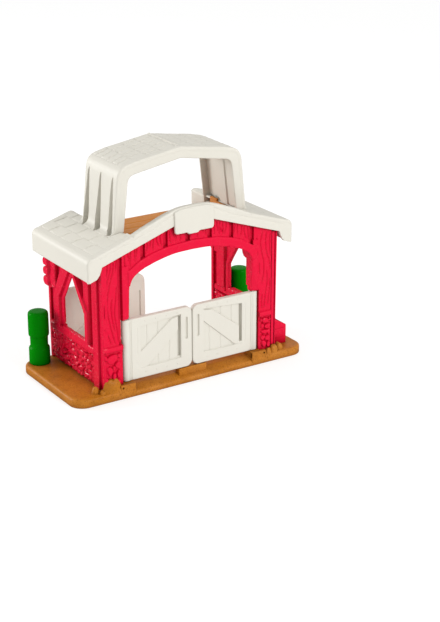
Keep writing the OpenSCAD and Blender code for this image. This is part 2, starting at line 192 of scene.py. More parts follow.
# ------------------------------------------------------------------ solids
class Build:
    """Collects closed shells in millimetres and makes one object of them."""

    def __init__(self):
        self.v, self.f, self.n = [], [], 0

    def add(self, verts, faces):
        V = np.asarray(verts, float)
        vol = 0.0
        for f in faces:
            for k in range(1, len(f) - 1):
                vol += np.dot(V[f[0]], np.cross(V[f[k]], V[f[k + 1]]))
        if vol < 0:
            faces = [tuple(reversed(f)) for f in faces]
        self.v.append(V)
        self.f += [tuple(i + self.n for i in f) for f in faces]
        self.n += len(V)
        return self

    def add_arrays(self, V, T, Q):
        a, b, c = V[T[:, 0]], V[T[:, 1]], V[T[:, 2]]
        vol = np.einsum("ij,ij->i", a, np.cross(b, c)).sum()
        if len(Q):
            for k in ((0, 1, 2), (0, 2, 3)):
                a, b, c = V[Q[:, k[0]]], V[Q[:, k[1]]], V[Q[:, k[2]]]
                vol += np.einsum("ij,ij->i", a, np.cross(b, c)).sum()
        if vol < 0:
            T, Q = T[:, ::-1], Q[:, ::-1]
        self.v.append(V)
        self.f += [tuple(r) for r in (T + self.n).tolist()] + [tuple(r) for r in (Q + self.n).tolist()]
        self.n += len(V)
        return self

    def prism(self, loop, to3, w0, w1, bevel=0.0, steps=2, low=True):
        """Outline extruded from w0 to w1, its end edges rounded."""
        loop = ccw(loop)
        k = steps if bevel > 0 else 0
        turn = [math.pi / 2 * i / k for i in range(k)]
        rings = [(w0, 0.0)]
        if low and bevel > 0:
            rings = [(w0 + bevel * (1 - math.cos(t)), -bevel * (1 - math.sin(t))) for t in turn] + [(w0 + bevel, 0.0)]
        rings += [(w1 - bevel * (1 - math.sin(t)), -bevel * (1 - math.cos(t))) for t in turn[:]] + [(w1, -bevel)] if bevel > 0 else [(w1, 0.0)]
        V, F, n = [], [], len(loop)
        for w, d in rings:
            L = offset(loop, d) if d else loop
            V.append(np.array(to3(L[:, 0], L[:, 1], np.full(n, w))).T)
        for r in range(len(rings) - 1):
            F += [(r * n + i, r * n + (i + 1) % n, (r + 1) * n + (i + 1) % n, (r + 1) * n + i) for i in range(n)]
        top = (len(rings) - 1) * n
        if n <= 4:
            F += [tuple(reversed(range(n))), tuple(range(top, top + n))]
        else:
            tri = delaunay_2d_cdt([Vector(q) for q in loop.tolist()], [(i, (i + 1) % n) for i in range(n)], [], 0, 1e-6, True)
            src = [o[0] for o in tri[3]]
            for t in tri[2]:
                c = np.mean([loop[src[i]] for i in t], axis=0)[None]
                if inside(c, loop)[0]:
                    t = [src[i] for i in t]
                    (x0, y0), (x1, y1), (x2, y2) = (loop[i] for i in t)
                    if (x1 - x0) * (y2 - y0) - (x2 - x0) * (y1 - y0) < 0:
                        t = t[::-1]
                    F += [tuple(reversed(t)), tuple(top + i for i in t)]
        return self.add(np.vstack(V), F)

    def lathe(self, prof, cx, cy, seg=40):
        """Turned solid about a vertical axis; prof is (r, z) from the bottom to the top, r above 0."""
        V, F = [], []
        for r, z in prof:
            for i in range(seg):
                a = 2 * math.pi * i / seg
                V.append((cx + r * math.cos(a), cy + r * math.sin(a), z))
        for k in range(len(prof) - 1):
            F += [(k * seg + i, k * seg + (i + 1) % seg, (k + 1) * seg + (i + 1) % seg, (k + 1) * seg + i) for i in range(seg)]
        F.append(tuple(reversed(range(seg))))
        F.append(tuple(range((len(prof) - 1) * seg, len(prof) * seg)))
        return self.add(V, F)

    def lump(self, c, r, seed, nu=22, nv=14, rough=0.16):
        """Rounded stone."""
        rng = np.random.default_rng(seed)
        ph = rng.random(6) * 6.28
        V, F = [], []
        for j in range(1, nv):
            b = math.pi * j / nv
            for i in range(nu):
                a = 2 * math.pi * i / nu
                k = 1 + rough * (math.sin(2 * a + ph[0]) * math.sin(b + ph[1]) * 0.6 + math.sin(3 * a + ph[2]) * math.sin(2 * b + ph[3]) * 0.5 + math.sin(4 * b + ph[4] + a) * 0.25)
                s = abs(math.sin(b)) ** 0.8
                V.append((c[0] + r[0] * k * s * math.cos(a), c[1] + r[1] * k * s * math.sin(a), max(c[2] - r[2] * k * math.cos(b), 2.0 + 0.01 * j)))
        for j in range(nv - 2):
            F += [(j * nu + i, j * nu + (i + 1) % nu, (j + 1) * nu + (i + 1) % nu, (j + 1) * nu + i) for i in range(nu)]
        F.append(tuple(reversed(range(nu))))
        F.append(tuple(range((nv - 2) * nu, (nv - 1) * nu)))
        return self.add(V, F)

    def mirrored(self):
        """The same shells on the other side of the centre line."""
        out = Build()
        out.v = [v * np.array([-1, 1, 1]) for v in self.v]
        out.f = [tuple(reversed(f)) for f in self.f]
        out.n = self.n
        return out

    def take(self, other):
        self.v += other.v
        self.f += [tuple(i + self.n for i in f) for f in other.f]
        self.n += other.n
        return self

    def make(self, name, mat, body, nodes, slot, angle=38):
        me = bpy.data.meshes.new(name)
        me.from_pydata((np.concatenate(self.v) * 0.001).tolist(), [], self.f)
        me.validate(clean_customdata=False)
        me.materials.append(mat)
        me.shade_smooth()
        me.set_sharp_from_angle(angle=math.radians(angle))
        o = bpy.data.objects.new(name, me)
        bpy.context.scene.collection.objects.link(o)
        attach(o, body)
        if nodes:
            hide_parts(*nodes)
        return o


class Panel:
    """A moulded sheet: a 2D outline with holes, worked on both faces."""

    def __init__(self, outline, holes=(), res=1.2, rnd=0.6, rnd_back=0.3, edge_res=None, soft_edge=None):
        e = edge_res or res
        self.loops = [resample(ccw(outline), e)] + [resample(ccw(h), e) for h in holes]
        self.res, self.rnd, self.rnd_back, self.soft_edge = res, rnd, rnd_back, soft_edge
        self.ops, self.back_ops, self.lines = [], [], []

    def region(self, loop, level, soft=0.25, back=False, step=None):
        loop = ccw(loop)
        (self.back_ops if back else self.ops).append(("r", loop, level, soft))
        for d in (soft, -soft):
            L = resample(offset(loop, d), step or self.res)
            self.lines.append(np.vstack([L, L[:1]]))
        return self

    def groove(self, pts, width, depth, back=False, smooth=True, taper=True):
        L = curve(pts, 5) if smooth and len(pts) > 2 else np.asarray(pts, float)
        L = resample(L, min(self.res, 1.6), closed=False)
        (self.back_ops if back else self.ops).append(("g", L, width, depth, taper))
        self.lines.append(L)
        if len(L) > 2:
            self.lines += [side_of(L, width), side_of(L, -width)]
        return self

    def field(self, fn, back=False):
        (self.back_ops if back else self.ops).append(("f", fn))
        return self

    def heights(self, P, ops):
        h = np.zeros(len(P))
        for op in ops:
            if op[0] == "f":
                h = op[1](P, h)
            elif op[0] == "r":
                loop, level, soft = op[1], op[2], op[3]
                m = ((P > loop.min(0) - soft - 0.02) & (P < loop.max(0) + soft + 0.02)).all(1)
                Q = P[m]
                if not len(Q):
                    continue
                d = seg_dist(Q, loop, np.roll(loop, -1, 0))
                t = np.clip(0.5 + np.where(inside(Q, loop), d, -d) / (2 * soft), 0, 1)
                lev = level(Q) if callable(level) else level
                h[m] = h[m] * (1 - t) + lev * t
            else:
                L, width, depth, taper = op[1], op[2], op[3], op[4]
                m = ((P > L.min(0) - width) & (P < L.max(0) + width)).all(1)
                Q = P[m]
                if not len(Q):
                    continue
                d = seg_dist(Q, L[:-1], L[1:])
                k = np.clip(1 - d / width, 0, 1)
                if taper:
                    ends = np.minimum(np.linalg.norm(Q - L[0], axis=1), np.linalg.norm(Q - L[-1], axis=1))
                    k = k * np.clip(ends / (2.2 * width) + 0.25, 0, 1)
                h[m] -= depth * k
        return h

    def into(self, build, to3, thick):
        r = self.rnd
        A = np.vstack(self.loops)
        B = np.vstack([np.roll(L, -1, 0) for L in self.loops])
        use = np.ones(len(A), bool) if self.soft_edge is None else self.soft_edge((A + B) / 2)
        rows = []
        for k, L in enumerate(self.loops):
            for d in ((0.12, 0.4, 0.75, 1.0) if r > 0.8 else (0.2, 0.6, 1.0)):
                q = offset(L, -d * r if k == 0 else d * r)
                rows.append(q[seg_dist(q, A, B) > 0.85 * d * r])
        lo, hi = A.min(0), A.max(0)
        s = self.res
        ny = int((hi[1] - lo[1]) / (s * 0.866)) + 2
        nx = int((hi[0] - lo[0]) / s) + 2
        gy, gx = np.meshgrid(np.arange(ny), np.arange(nx), indexing="ij")
        G = np.c_[(lo[0] + (gx + 0.5 * (gy % 2)) * s).ravel(), (lo[1] + gy * s * 0.866).ravel()]
        G = G[inside(G, self.loops[0])]
        for h in self.loops[1:]:
            G = G[~inside(G, h)]
        G = G[seg_dist(G, A, B) > r + 0.35 * s]
        extra = np.vstack([G] + rows)
        if self.lines:
            P1 = np.vstack([L[:-1] for L in self.lines])
            P2 = np.vstack([L[1:] for L in self.lines])
            keep = np.ones(len(extra), bool)
            cell = 12.0
            for cx in np.arange(lo[0], hi[0] + cell, cell):
                mx = (extra[:, 0] >= cx) & (extra[:, 0] < cx + cell)
                sx = (np.minimum(P1[:, 0], P2[:, 0]) < cx + cell + s) & (np.maximum(P1[:, 0], P2[:, 0]) > cx - s)
                if not mx.any() or not sx.any():
                    continue
                for cy in np.arange(lo[1], hi[1] + cell, cell):
                    m = mx & (extra[:, 1] >= cy) & (extra[:, 1] < cy + cell)
                    q = sx & (np.minimum(P1[:, 1], P2[:, 1]) < cy + cell + s) & (np.maximum(P1[:, 1], P2[:, 1]) > cy - s)
                    if m.any() and q.any():
                        keep[m] = seg_dist(extra[m], P1[q], P2[q]) > 0.4 * s
            extra = extra[keep]
        pts, edges = [], []
        for L in self.loops:
            o = len(pts)
            pts += L.tolist()
            edges += [(o + i, o + (i + 1) % len(L)) for i in range(len(L))]
        for L in self.lines:
            o = len(pts)
            pts += L.tolist()
            edges += [(o + i, o + i + 1) for i in range(len(L) - 1)]
        pts += extra.tolist()
        out = delaunay_2d_cdt([Vector(p) for p in pts], edges, [], 0, 1e-4, False)
        P = np.array([(p[0], p[1]) for p in out[0]], float)
        T = np.array([f for f in out[2] if len(f) == 3], int)
        c = P[T].mean(1)
        ok = inside(c, self.loops[0])
        for h in self.loops[1:]:
            ok &= ~inside(c, h)
        a, b, d = P[T[:, 0]], P[T[:, 1]], P[T[:, 2]]
        cross = (b[:, 0] - a[:, 0]) * (d[:, 1] - a[:, 1]) - (b[:, 1] - a[:, 1]) * (d[:, 0] - a[:, 0])
        T = T[ok]
        cross = cross[ok]
        T[cross < 0] = T[cross < 0][:, ::-1]
        used = np.unique(T)
        remap = np.full(len(P), -1)
        remap[used] = np.arange(len(used))
        P, T = P[used], remap[T]
        d = seg_dist(P, A[use], B[use]) if use.any() else np.full(len(P), 99.0)

        def rounding(rr):
            k = np.clip(rr - d, 0, rr) if rr > 0 else np.zeros(len(P))
            return rr - np.sqrt(np.maximum(rr * rr - k * k, 0)) if rr > 0 else k

        front = self.heights(P, self.ops) - rounding(r)
        back = -thick - self.heights(P, self.back_ops) + rounding(self.rnd_back)
        back = np.minimum(back, front - 0.35)
        n = len(P)
        V = np.vstack([np.array(to3(P[:, 0], P[:, 1], front)).T, np.array(to3(P[:, 0], P[:, 1], back)).T])
        E = np.vstack([T[:, [0, 1]], T[:, [1, 2]], T[:, [2, 0]]])
        key = E[:, 0].astype(np.int64) * n + E[:, 1]
        rev = E[:, 1].astype(np.int64) * n + E[:, 0]
        edge = E[~np.isin(key, rev)]
        Q = np.c_[edge[:, 1], edge[:, 0], edge[:, 0] + n, edge[:, 1] + n]
        return build.add_arrays(V, np.vstack([T, T[:, ::-1] + n]), Q)


class Profile:
    """A line in X and Z that a sheet follows; w is to its left, so up and out on a line that runs left to right."""

    def __init__(self, pts, step=0.6):
        P = resample(pts, step, closed=False)
        g = np.gradient(P, axis=0)
        g /= np.linalg.norm(g, axis=1)[:, None]
        N = np.c_[-g[:, 1], g[:, 0]]
        self.P, self.N = P, N / np.linalg.norm(N, axis=1)[:, None]
        self.s = np.r_[0, np.cumsum(np.linalg.norm(np.diff(P, axis=0), axis=1))]
        self.length = self.s[-1]

    def to3(self, u, v, w):
        x, z = np.interp(u, self.s, self.P[:, 0]), np.interp(u, self.s, self.P[:, 1])
        nx, nz = np.interp(u, self.s, self.N[:, 0]), np.interp(u, self.s, self.N[:, 1])
        return x + w * nx, v, z + w * nz

    def at_x(self, x):
        return float(np.interp(x, self.P[:, 0], self.s))


def front_at(y0):
    return lambda u, v, w: (u, y0 - w, v)


def right_at(x0):
    return lambda u, v, w: (x0 + w, u, v)


def top_at(z0):
    return lambda u, v, w: (u, v, z0 + w)


def back_at(y0):
    return lambda u, v, w: (u, y0 + w, v)


def block(b, x0, x1, y0, y1, z0, z1, bevel=0.4, r=0.0):
    b.prism(rect(x0, x1, y0, y1, r), top_at(0), z0, z1, bevel)


# ------------------------------------------------------------------ materials
def moulded(name, base, dark, light, rough=0.36, speck=0.0, grain=0.05, painted_crevice_shade=0.55, coat=0.0, ao=0.009, spec=0.3):
    """Moulded plastic: slow colour drift, a fine moulded texture, painted shade in the crevices (an AO node mixes in
    the dark colour) and a varying sheen.
    """
    m = bpy.data.materials.new(name)
    m.use_nodes = True
    nt = m.node_tree
    nt.nodes.clear()
    N, K = nt.nodes.new, nt.links.new
    out, bsdf = N("ShaderNodeOutputMaterial"), N("ShaderNodeBsdfPrincipled")
    K(bsdf.outputs[0], out.inputs["Surface"])
    co = N("ShaderNodeTexCoord")

    def noise(scale, detail=3.0, roughness=0.5):
        n = N("ShaderNodeTexNoise")
        n.inputs["Scale"].default_value = scale
        n.inputs["Detail"].default_value = detail
        n.inputs["Roughness"].default_value = roughness
        K(co.outputs["Object"], n.inputs["Vector"])
        return n.outputs["Fac"]

    def span(src, a, b, lo, hi):
        r = N("ShaderNodeMapRange")
        K(src, r.inputs["Value"])
        for i, v in zip(("From Min", "From Max", "To Min", "To Max"), (a, b, lo, hi)):
            r.inputs[i].default_value = v
        return r.outputs["Result"]

    def mix(fac, a, b, mode="MIX"):
        x = N("ShaderNodeMix")
        x.data_type = "RGBA"
        x.blend_type = mode
        if isinstance(fac, float):
            x.inputs["Factor"].default_value = fac
        else:
            K(fac, x.inputs["Factor"])
        for i, v in ((6, a), (7, b)):
            if isinstance(v, tuple):
                x.inputs[i].default_value = (*v, 1.0)
            else:
                K(v, x.inputs[i])
        return x.outputs[2]

    col = mix(span(noise(38.0), 0.35, 0.65, 0.0, 0.22), base, light)
    if speck:
        col = mix(span(noise(1150.0, 2.0, 0.6), 0.52, 0.68, 0.0, speck), col, dark)
        col = mix(span(noise(1700.0, 1.0, 0.5), 0.6, 0.74, 0.0, speck * 0.7), col, light)
        col = mix(span(noise(120.0, 4.0, 0.6), 0.45, 0.7, 0.0, speck * 0.5), col, dark)
    # painted shade: where the AO node finds crevices, recesses and gaps between parts, the colour is mixed towards the
    # dark colour
    if painted_crevice_shade:
        a = N("ShaderNodeAmbientOcclusion")
        a.samples = 8
        a.inputs["Distance"].default_value = ao
        col = mix(span(a.outputs["AO"], 0.25, 0.8, painted_crevice_shade, 0.0), col, dark)
    K(col, bsdf.inputs["Base Color"])
    K(span(noise(210.0, 4.0, 0.6), 0.3, 0.7, rough - 0.05, rough + 0.07), bsdf.inputs["Roughness"])
    bsdf.inputs["IOR"].default_value = 1.48
    bsdf.inputs["Specular IOR Level"].default_value = spec
    if coat:
        bsdf.inputs["Coat Weight"].default_value = coat
        bsdf.inputs["Coat Roughness"].default_value = 0.12
    fine, broad = noise(2100.0 if not speck else 1300.0, 2.0, 0.6), noise(260.0, 3.0, 0.5)
    b1, b2 = N("ShaderNodeBump"), N("ShaderNodeBump")
    b1.inputs["Strength"].default_value = grain
    b1.inputs["Distance"].default_value = 0.0004 if speck else 0.0002
    b2.inputs["Strength"].default_value = 0.06
    b2.inputs["Distance"].default_value = 0.0008
    K(fine, b1.inputs["Height"])
    K(broad, b2.inputs["Height"])
    K(b2.outputs["Normal"], b1.inputs["Normal"])
    K(b1.outputs["Normal"], bsdf.inputs["Normal"])
    return m


def metal(name):
    m = bpy.data.materials.new(name)
    m.use_nodes = True
    nt = m.node_tree
    bsdf = nt.nodes["Principled BSDF"]
    N, K = nt.nodes.new, nt.links.new
    co, n, r, c = N("ShaderNodeTexCoord"), N("ShaderNodeTexNoise"), N("ShaderNodeMapRange"), N("ShaderNodeValToRGB")
    n.inputs["Scale"].default_value = 900.0
    n.inputs["Detail"].default_value = 4.0
    K(co.outputs["Object"], n.inputs["Vector"])
    K(n.outputs["Fac"], r.inputs["Value"])
    r.inputs["To Min"].default_value, r.inputs["To Max"].default_value = 0.22, 0.42
    K(r.outputs["Result"], bsdf.inputs["Roughness"])
    c.color_ramp.elements[0].color = (0.42, 0.43, 0.45, 1)
    c.color_ramp.elements[1].color = (0.72, 0.73, 0.75, 1)
    K(n.outputs["Fac"], c.inputs["Fac"])
    K(c.outputs["Color"], bsdf.inputs["Base Color"])
    bsdf.inputs["Metallic"].default_value = 1.0
    b = N("ShaderNodeBump")
    b.inputs["Strength"].default_value = 0.08
    b.inputs["Distance"].default_value = 0.0002
    K(n.outputs["Fac"], b.inputs["Height"])
    K(b.outputs["Normal"], bsdf.inputs["Normal"])
    return m


# each material's second colour is the painted shade for its crevices; for brown and tan it is also the speckle colour
RED = moulded("red_plastic", (0.66, 0.0040, 0.035), (0.27, 0.0, 0.003), (0.72, 0.0075, 0.045), 0.24, grain=0.05, painted_crevice_shade=0.85, spec=0.2)
CREAM = moulded("cream_plastic", (0.62, 0.597, 0.53), (0.27, 0.255, 0.20), (0.65, 0.63, 0.565), 0.40, grain=0.05, painted_crevice_shade=0.24, spec=0.18)
BROWN = moulded("brown_plastic", (0.42, 0.145, 0.010), (0.12, 0.032, 0.002), (0.62, 0.27, 0.07), 0.40, speck=0.5, grain=0.22, painted_crevice_shade=0.6, spec=0.12)
TAN = moulded("tan_plastic", (0.50, 0.185, 0.028), (0.18, 0.045, 0.004), (0.58, 0.24, 0.05), 0.45, speck=0.2, grain=0.15, painted_crevice_shade=0.5, spec=0.15)
GREEN = moulded("green_plastic", (0.0004, 0.18, 0.0006), (0.0, 0.04, 0.0003), (0.001, 0.23, 0.002), 0.26, grain=0.04, painted_crevice_shade=0.6, spec=0.03)
STEEL = metal("screw_steel")


# ------------------------------------------------------------------ base
BASE_H, PAD_TOP = 6.7, 10.6
BOLTS = [(-66, -34), (66, -34), (-68, 0), (68, 0), (-68, 30), (68, 30)]
POSTS = [(-88, 36.2, 41.5), (89.5, 31.5, 43.3)]


def ramp_level(P):
    return np.clip(-2.7 + (P[:, 1] + 45.0) / 8.0 * 2.7, -2.7, 0.0)


base = Build()
p = Panel(rect(-100, 100, -45, 45, 11, 10), res=2.4, rnd=1.9, rnd_back=0.7, edge_res=2.0)
p.region([(-50.9, -47), (50.9, -47), (50.9, -37), (-50.9, -37)], ramp_level, 0.2)
for x, y in BOLTS + [(q[0], q[1]) for q in POSTS] + [(84, -20)]:
    p.region(arc(x, y, 3.0, 0, 345, 23), -1.9, 0.15, back=True, step=0.9)
for x in (-50, -25, 0, 25, 50):
    for y in (-14, 16):
        p.region(rect(x - 11.3, x + 11.3, y - 13.5, y + 13.5, 1.5), -3.8, 0.3, back=True)
for x in (-85, 85):
    p.region(rect(x - 9, x + 9, -5, 19, 1.5), -3.8, 0.3, back=True)
p.into(base, top_at(BASE_H), BASE_H)
for s in (-1, 1):
    # pads that carry the door hinges, with a small moulding hole in the front
    def mx(a, b):
        return (a, b) if s > 0 else (-b, -a)
    x0, x1 = mx(51, 63.4)
    q = Panel(rect(x0, x1, 1.0, PAD_TOP, 0), res=1.0, rnd=0.7, rnd_back=0.2)
    q.region(arc(s * 61.6, 8.6, 0.75, 0, 330, 11), -1.6, 0.12, step=0.4)
    q.into(base, front_at(-44.9), 3.0)
    x0, x1 = mx(51, 59.6)
    block(base, x0, x1, -43.5, -33.9, 2.0, PAD_TOP, 0.6)
q = Panel(rect(-12, 12, 2, 10.7, 0), res=1.5, rnd=0.6)
q.into(base, front_at(-40.9), 6.0)
block(base, -66.2 - 3.4, -66.2 + 3.4, 35.5, 42.3, 1.5, 10.7, 0.5)
for i, (x, y, rx, ry, top) in enumerate([(-80.6, -37.2, 3.0, 3.0, 11.8), (-76.4, -40.6, 3.2, 3.0, 9.4), (-68.7, -41.4, 7.5, 3.5, 16.6), (-64.0, -42.6, 2.5, 2.3, 9.6),
                                  (62.9, -42.7, 2.4, 2.2, 9.2), (67.2, -42.0, 3.2, 2.9, 10.6), (72.4, -41.4, 3.9, 3.4, 12.2), (78.4, -39.4, 4.2, 3.6, 11.6)]):
    base.lump((x, y, 5.0), (rx, ry, top - 5.0), 40 + i, rough=0.1)
base.make("base_tray", BROWN, "root", ["base_plate"], "brown")

# ------------------------------------------------------------------ front wall
WF = -41.1
ARCH = curve([(0, 102.4), (15, 101.8), (28, 99.3), (36, 97), (42.5, 94.6), (48.5, 91), (51.5, 87), (52.7, 81.5)], 5)
TRIM = curve([(0, 109.5), (16, 108.4), (23, 107.6), (32, 105.6), (36, 104.5), (44, 101.5), (51, 97), (53.8, 95.8)], 4)
arch_line = both_ways(ARCH)
wall_loop = np.vstack([[(-74.5, 6.7), (-59.1, 6.7), (-59.1, 58.9), (-52.7, 58.9)], arch_line,
                       [(52.7, 58.9), (59.1, 58.9), (59.1, 6.7), (74.5, 6.7), (75.3, 109.6), (52, 117.4), (6.5, 132.4),
                        (-6.5, 132.4), (-52, 117.4), (-75.3, 109.6)]])
front = Build()
p = Panel(wall_loop, res=1.15, rnd=0.45, rnd_back=0.2, edge_res=1.6)
p.field(lambda P, h: h - 0.35)
# vertical board joints
for x, z0 in [(-60.2, 41.0), (-41.1, 96), (-22.3, 96), (-3.6, 96), (15.1, 96), (33.8, 96), (52.1, 96)]:
    p.region(rect(x - 1.75, x + 1.75, z0, 134), -2.3, 0.2, step=2.5)
p.region(rect(70.2, 73.6, 6.0, 134), -2.3, 0.2, step=2.5)


def roofline(x):
    return 128.4 - 0.336 * abs(x)


def trimline(x):
    return float(np.interp(abs(x), TRIM[:, 0], TRIM[:, 1]))


GRAIN = [[(-69.7, 104.9), (-70.3, 98.3), (-72.2, 87.6)],
         [(-64.9, 106.2), (-65.5, 97.4), (-68.2, 88.3), (-70.6, 77.5), (-70.8, 68.5), (-68.4, 55.9), (-64.8, 42)],
         [(-62.4, 108.4), (-63, 101.4), (-63.8, 96)], [(-62.6, 86.8), (-63.8, 76.1), (-64.9, 65), (-63.2, 53.1), (-62.4, 43.6)],
         [(-73.3, 55.4), (-70.3, 48.6), (-68, 42)], [(-67.2, 105.2), (-68, 97), (-70.6, 89), (-72.9, 80)],
         [(-66.9, 78), (-67.6, 69), (-66.2, 58), (-64.9, 52)], [(-72.6, 75), (-73, 66), (-71.6, 58)],
         [(62, 105.1), (60.3, 96), (61.3, 88.8), (63.2, 80.5), (63.3, 71.7), (61.6, 62.5)],
         [(65.6, 104.4), (64.8, 95.2), (65.8, 87.9), (68.7, 79.5), (69.3, 73)],
         [(68.8, 103.1), (68.5, 92.9), (69.6, 83.3)], [(59.1, 81.3), (59.7, 70.9)], [(68.9, 67), (68.7, 57), (67.2, 45.2)],
         [(66.2, 74), (66.6, 64), (65, 54), (63.9, 43)], [(56.9, 101), (56.6, 94), (57.6, 86)], [(62.2, 56), (61.6, 49), (62.1, 42.5)]]
rng = np.random.default_rng(7)
planks = [(-58.4, -43.2), (-39.6, -24.5), (-20.9, -5.8), (-2.2, 12.9), (16.5, 31.6), (35.2, 50.3)]
for k, (a, b) in enumerate(planks):
    n = 5
    for i in range(n):
        f = (i + 0.5) / n
        x = a + 0.8 + (b - a - 1.6) * f
        zt = roofline(x) - 0.4
        spread = (f - 0.5) * (5.0 if k % 2 else -3.6) + (0.8 if i % 2 else -0.6)
        xb = min(max(x + spread, a + 0.7), b - 0.7)
        zb = trimline(xb) + 0.9
        h = zt - zb
        lo = zb + h * (rng.random() * 0.35 if i % 2 else 0.0)
        if zt - lo > 2.5:
            GRAIN.append([(x, zt), (x + (xb - x) * 0.1 + (rng.random() - 0.5) * 1.4, zt - (zt - lo) * 0.4), (xb, lo)])
for g in GRAIN:
    p.groove(g, 0.75, 0.62)
# a knot in the fifth board
p.groove([(24.4, 115.6), (25.0, 112.4), (26.2, 110.9), (27.2, 112.6), (26.6, 115.4)], 0.6, 0.55)
# smooth strips beside the arch and the raised trim over it
for s in (-1, 1):
    strip = rect(min(s * 53.0, s * 58.7), max(s * 53.0, s * 58.7), 58, 99.5) if s < 0 else rect(53.0, 57.4, 58, 99.5)
    p.region(strip, 0.1, 0.2, step=2.5)
trim_top = both_ways(TRIM)
p.region(np.vstack([trim_top, [(53.8, 84), (0, 84), (-53.8, 84)]]), 0.5, 0.22)
p.region(np.vstack([both_ways(TRIM - [[0, 0.9]]), [(53.2, 84), (0, 84), (-53.2, 84)]]), 0.85, 0.4)
for s in (-1, 1):
    ch = [(s * 58.3, 58), (s * 53.4, 82), (s * 52, 84), (s * 50, 84), (s * 50, 58)]
    p.region(ch, lambda P: 0.1 - 1.6 * np.clip((58.3 - (P[:, 1] - 58.9) / 23 * 5.0 - np.abs(P[:, 0])) / 5.6, 0, 1), 0.15, step=2.0)
# stone plinth, its cap and its stones
for s in (-1, 1):
    a, b = (59, 70.1) if s > 0 else (59, 75.6)
    x0, x1 = (a, b) if s > 0 else (-b, -a)
    p.region(rect(x0, x1, 5, 38.0), lambda P: -0.75 + 0.35 * value_noise(P, 3.0, 5), 0.2, step=2.0)
    p.region(rect(x0, x1, 37.0, 40.9), 0.85, 0.3, step=2.0)
    p.region(rect(x0 + 0.5, x1 - 0.5, 37.7, 40.0), 1.3, 0.45, step=2.0)
STONES = [(-68.4, 31.8, 4.3, 3.6), (-63.4, 26.4, 2.4, 3.0), (-70.2, 22.7, 2.1, 3.5), (-63.0, 19.2, 1.9, 2.9), (-66.8, 18.2, 1.5, 2.7),
          (-62.3, 33.4, 1.6, 2.0), (-72.6, 14.4, 1.4, 3.0), (-63.6, 12.9, 2.2, 2.0), (-67.0, 24.6, 1.2, 1.8), (-73.3, 33.2, 0.9, 2.2),
          (64.8, 33.4, 3.4, 1.9), (66.6, 28.6, 2.8, 1.9), (62.1, 29.4, 1.4, 2.0), (64.4, 24.4, 3.4, 1.7), (67.9, 23.6, 1.4, 1.9),
          (62.6, 19.8, 2.0, 2.0), (66.9, 18.8, 2.2, 2.4), (63.6, 14.6, 2.2, 2.6), (67.6, 13.6, 1.7, 2.2), (61.0, 34.4, 0.9, 1.4), (68.6, 33.8, 0.9, 1.8)]
for i, (x, z, rx, rz) in enumerate(STONES):
    ph = i * 1.7
    a = np.linspace(0, 2 * math.pi, 15)[:-1]
    k = 1 + 0.10 * np.sin(2 * a + ph) + 0.07 * np.sin(3 * a + 2 * ph)
    loop = np.c_[x + rx * k * np.cos(a), z + rz * k * np.sin(a)]

    def dome(P, x=x, z=z, rx=rx, rz=rz):
        d = ((P[:, 0] - x) / rx) ** 2 + ((P[:, 1] - z) / rz) ** 2
        return 0.35 + 0.75 * np.sqrt(np.clip(1.15 - d, 0, 1.15))
    p.region(loop, dome, 0.35, step=0.9)
p.into(front, front_at(WF), 3.0)
ring = np.vstack([both_ways(np.vstack([ARCH + [[0, 2.4]], [(55.1, 81.5), (55.1, 58.9)]])),
                  both_ways(np.vstack([ARCH, [(52.7, 58.9)]]))[::-1]])
front.prism(ring, front_at(0), 34.4, 38.4, 0.3)
for s in (-1, 1):
    def bx(a, b, *rest, **kw):
        block(front, *((a, b) if s > 0 else (-b, -a)), *rest, **kw)
    bx(53.6, 60.7, -38.4, -34.6, 58.9, 66.9)
    bx(59.1, 62.2, -38.5, -29.1, 6.7, 58.9)
    bx(70.6, 73.0, -40.6, -34.9, 6.7, 103.2, bevel=0.3)
    bx(72.1, 74.4, -38.5, -31.1, 6.7, 103.0)
    bx(65, 67, -38.6, -34, 6.7, 20.7, bevel=0.2)
    front.lathe([(3.2, 6.7), (3.2, 20.3), (2.9, 20.7)], s * 66, -34, 28)
front.make("front_wall_moulding", RED, "root", ["front_wall"], "red")

liner = Build()
ring = np.vstack([both_ways(np.vstack([ARCH + [[0, 4.6]], [(57.3, 81.5), (57.3, 60.4)]])),
                  both_ways(np.vstack([ARCH + [[0, 2.6]], [(55.3, 81.5), (55.3, 60.4)]]))[::-1]])
liner.prism(ring, front_at(0), 28.6, 34.3, 0.5)
liner.make("arch_liner_moulding", RED, "root", ["arch_liner"], "red")


# ------------------------------------------------------------------ side walls
def window(g=0.0):
    return np.array([(-15.5 - g, 39.5 - g), (19.8 + g, 39.5 - g), (19.8 + g, 59.5 + g * 0.4), (3, 85 + g * 1.4), (-15.5 - g, 59.5 + g * 0.4)], float)


def strip_along(a, b, off0, off1, ext0=0.0, ext1=0.0):
    """Band beside the line a-b, from off0 to off1 on its right."""
    a, b = np.array(a, float), np.array(b, float)
    t = (b - a) / np.linalg.norm(b - a)
    n = np.array([t[1], -t[0]])
    a, b = a - t * ext0, b + t * ext1
    return np.array([a + n * off0, a + n * off1, b + n * off1, b + n * off0])


def rubble(P):
    t, own = cobbles(P, 4.0, 11)
    return -1.5 + t * (1.5 + 1.3 * own)


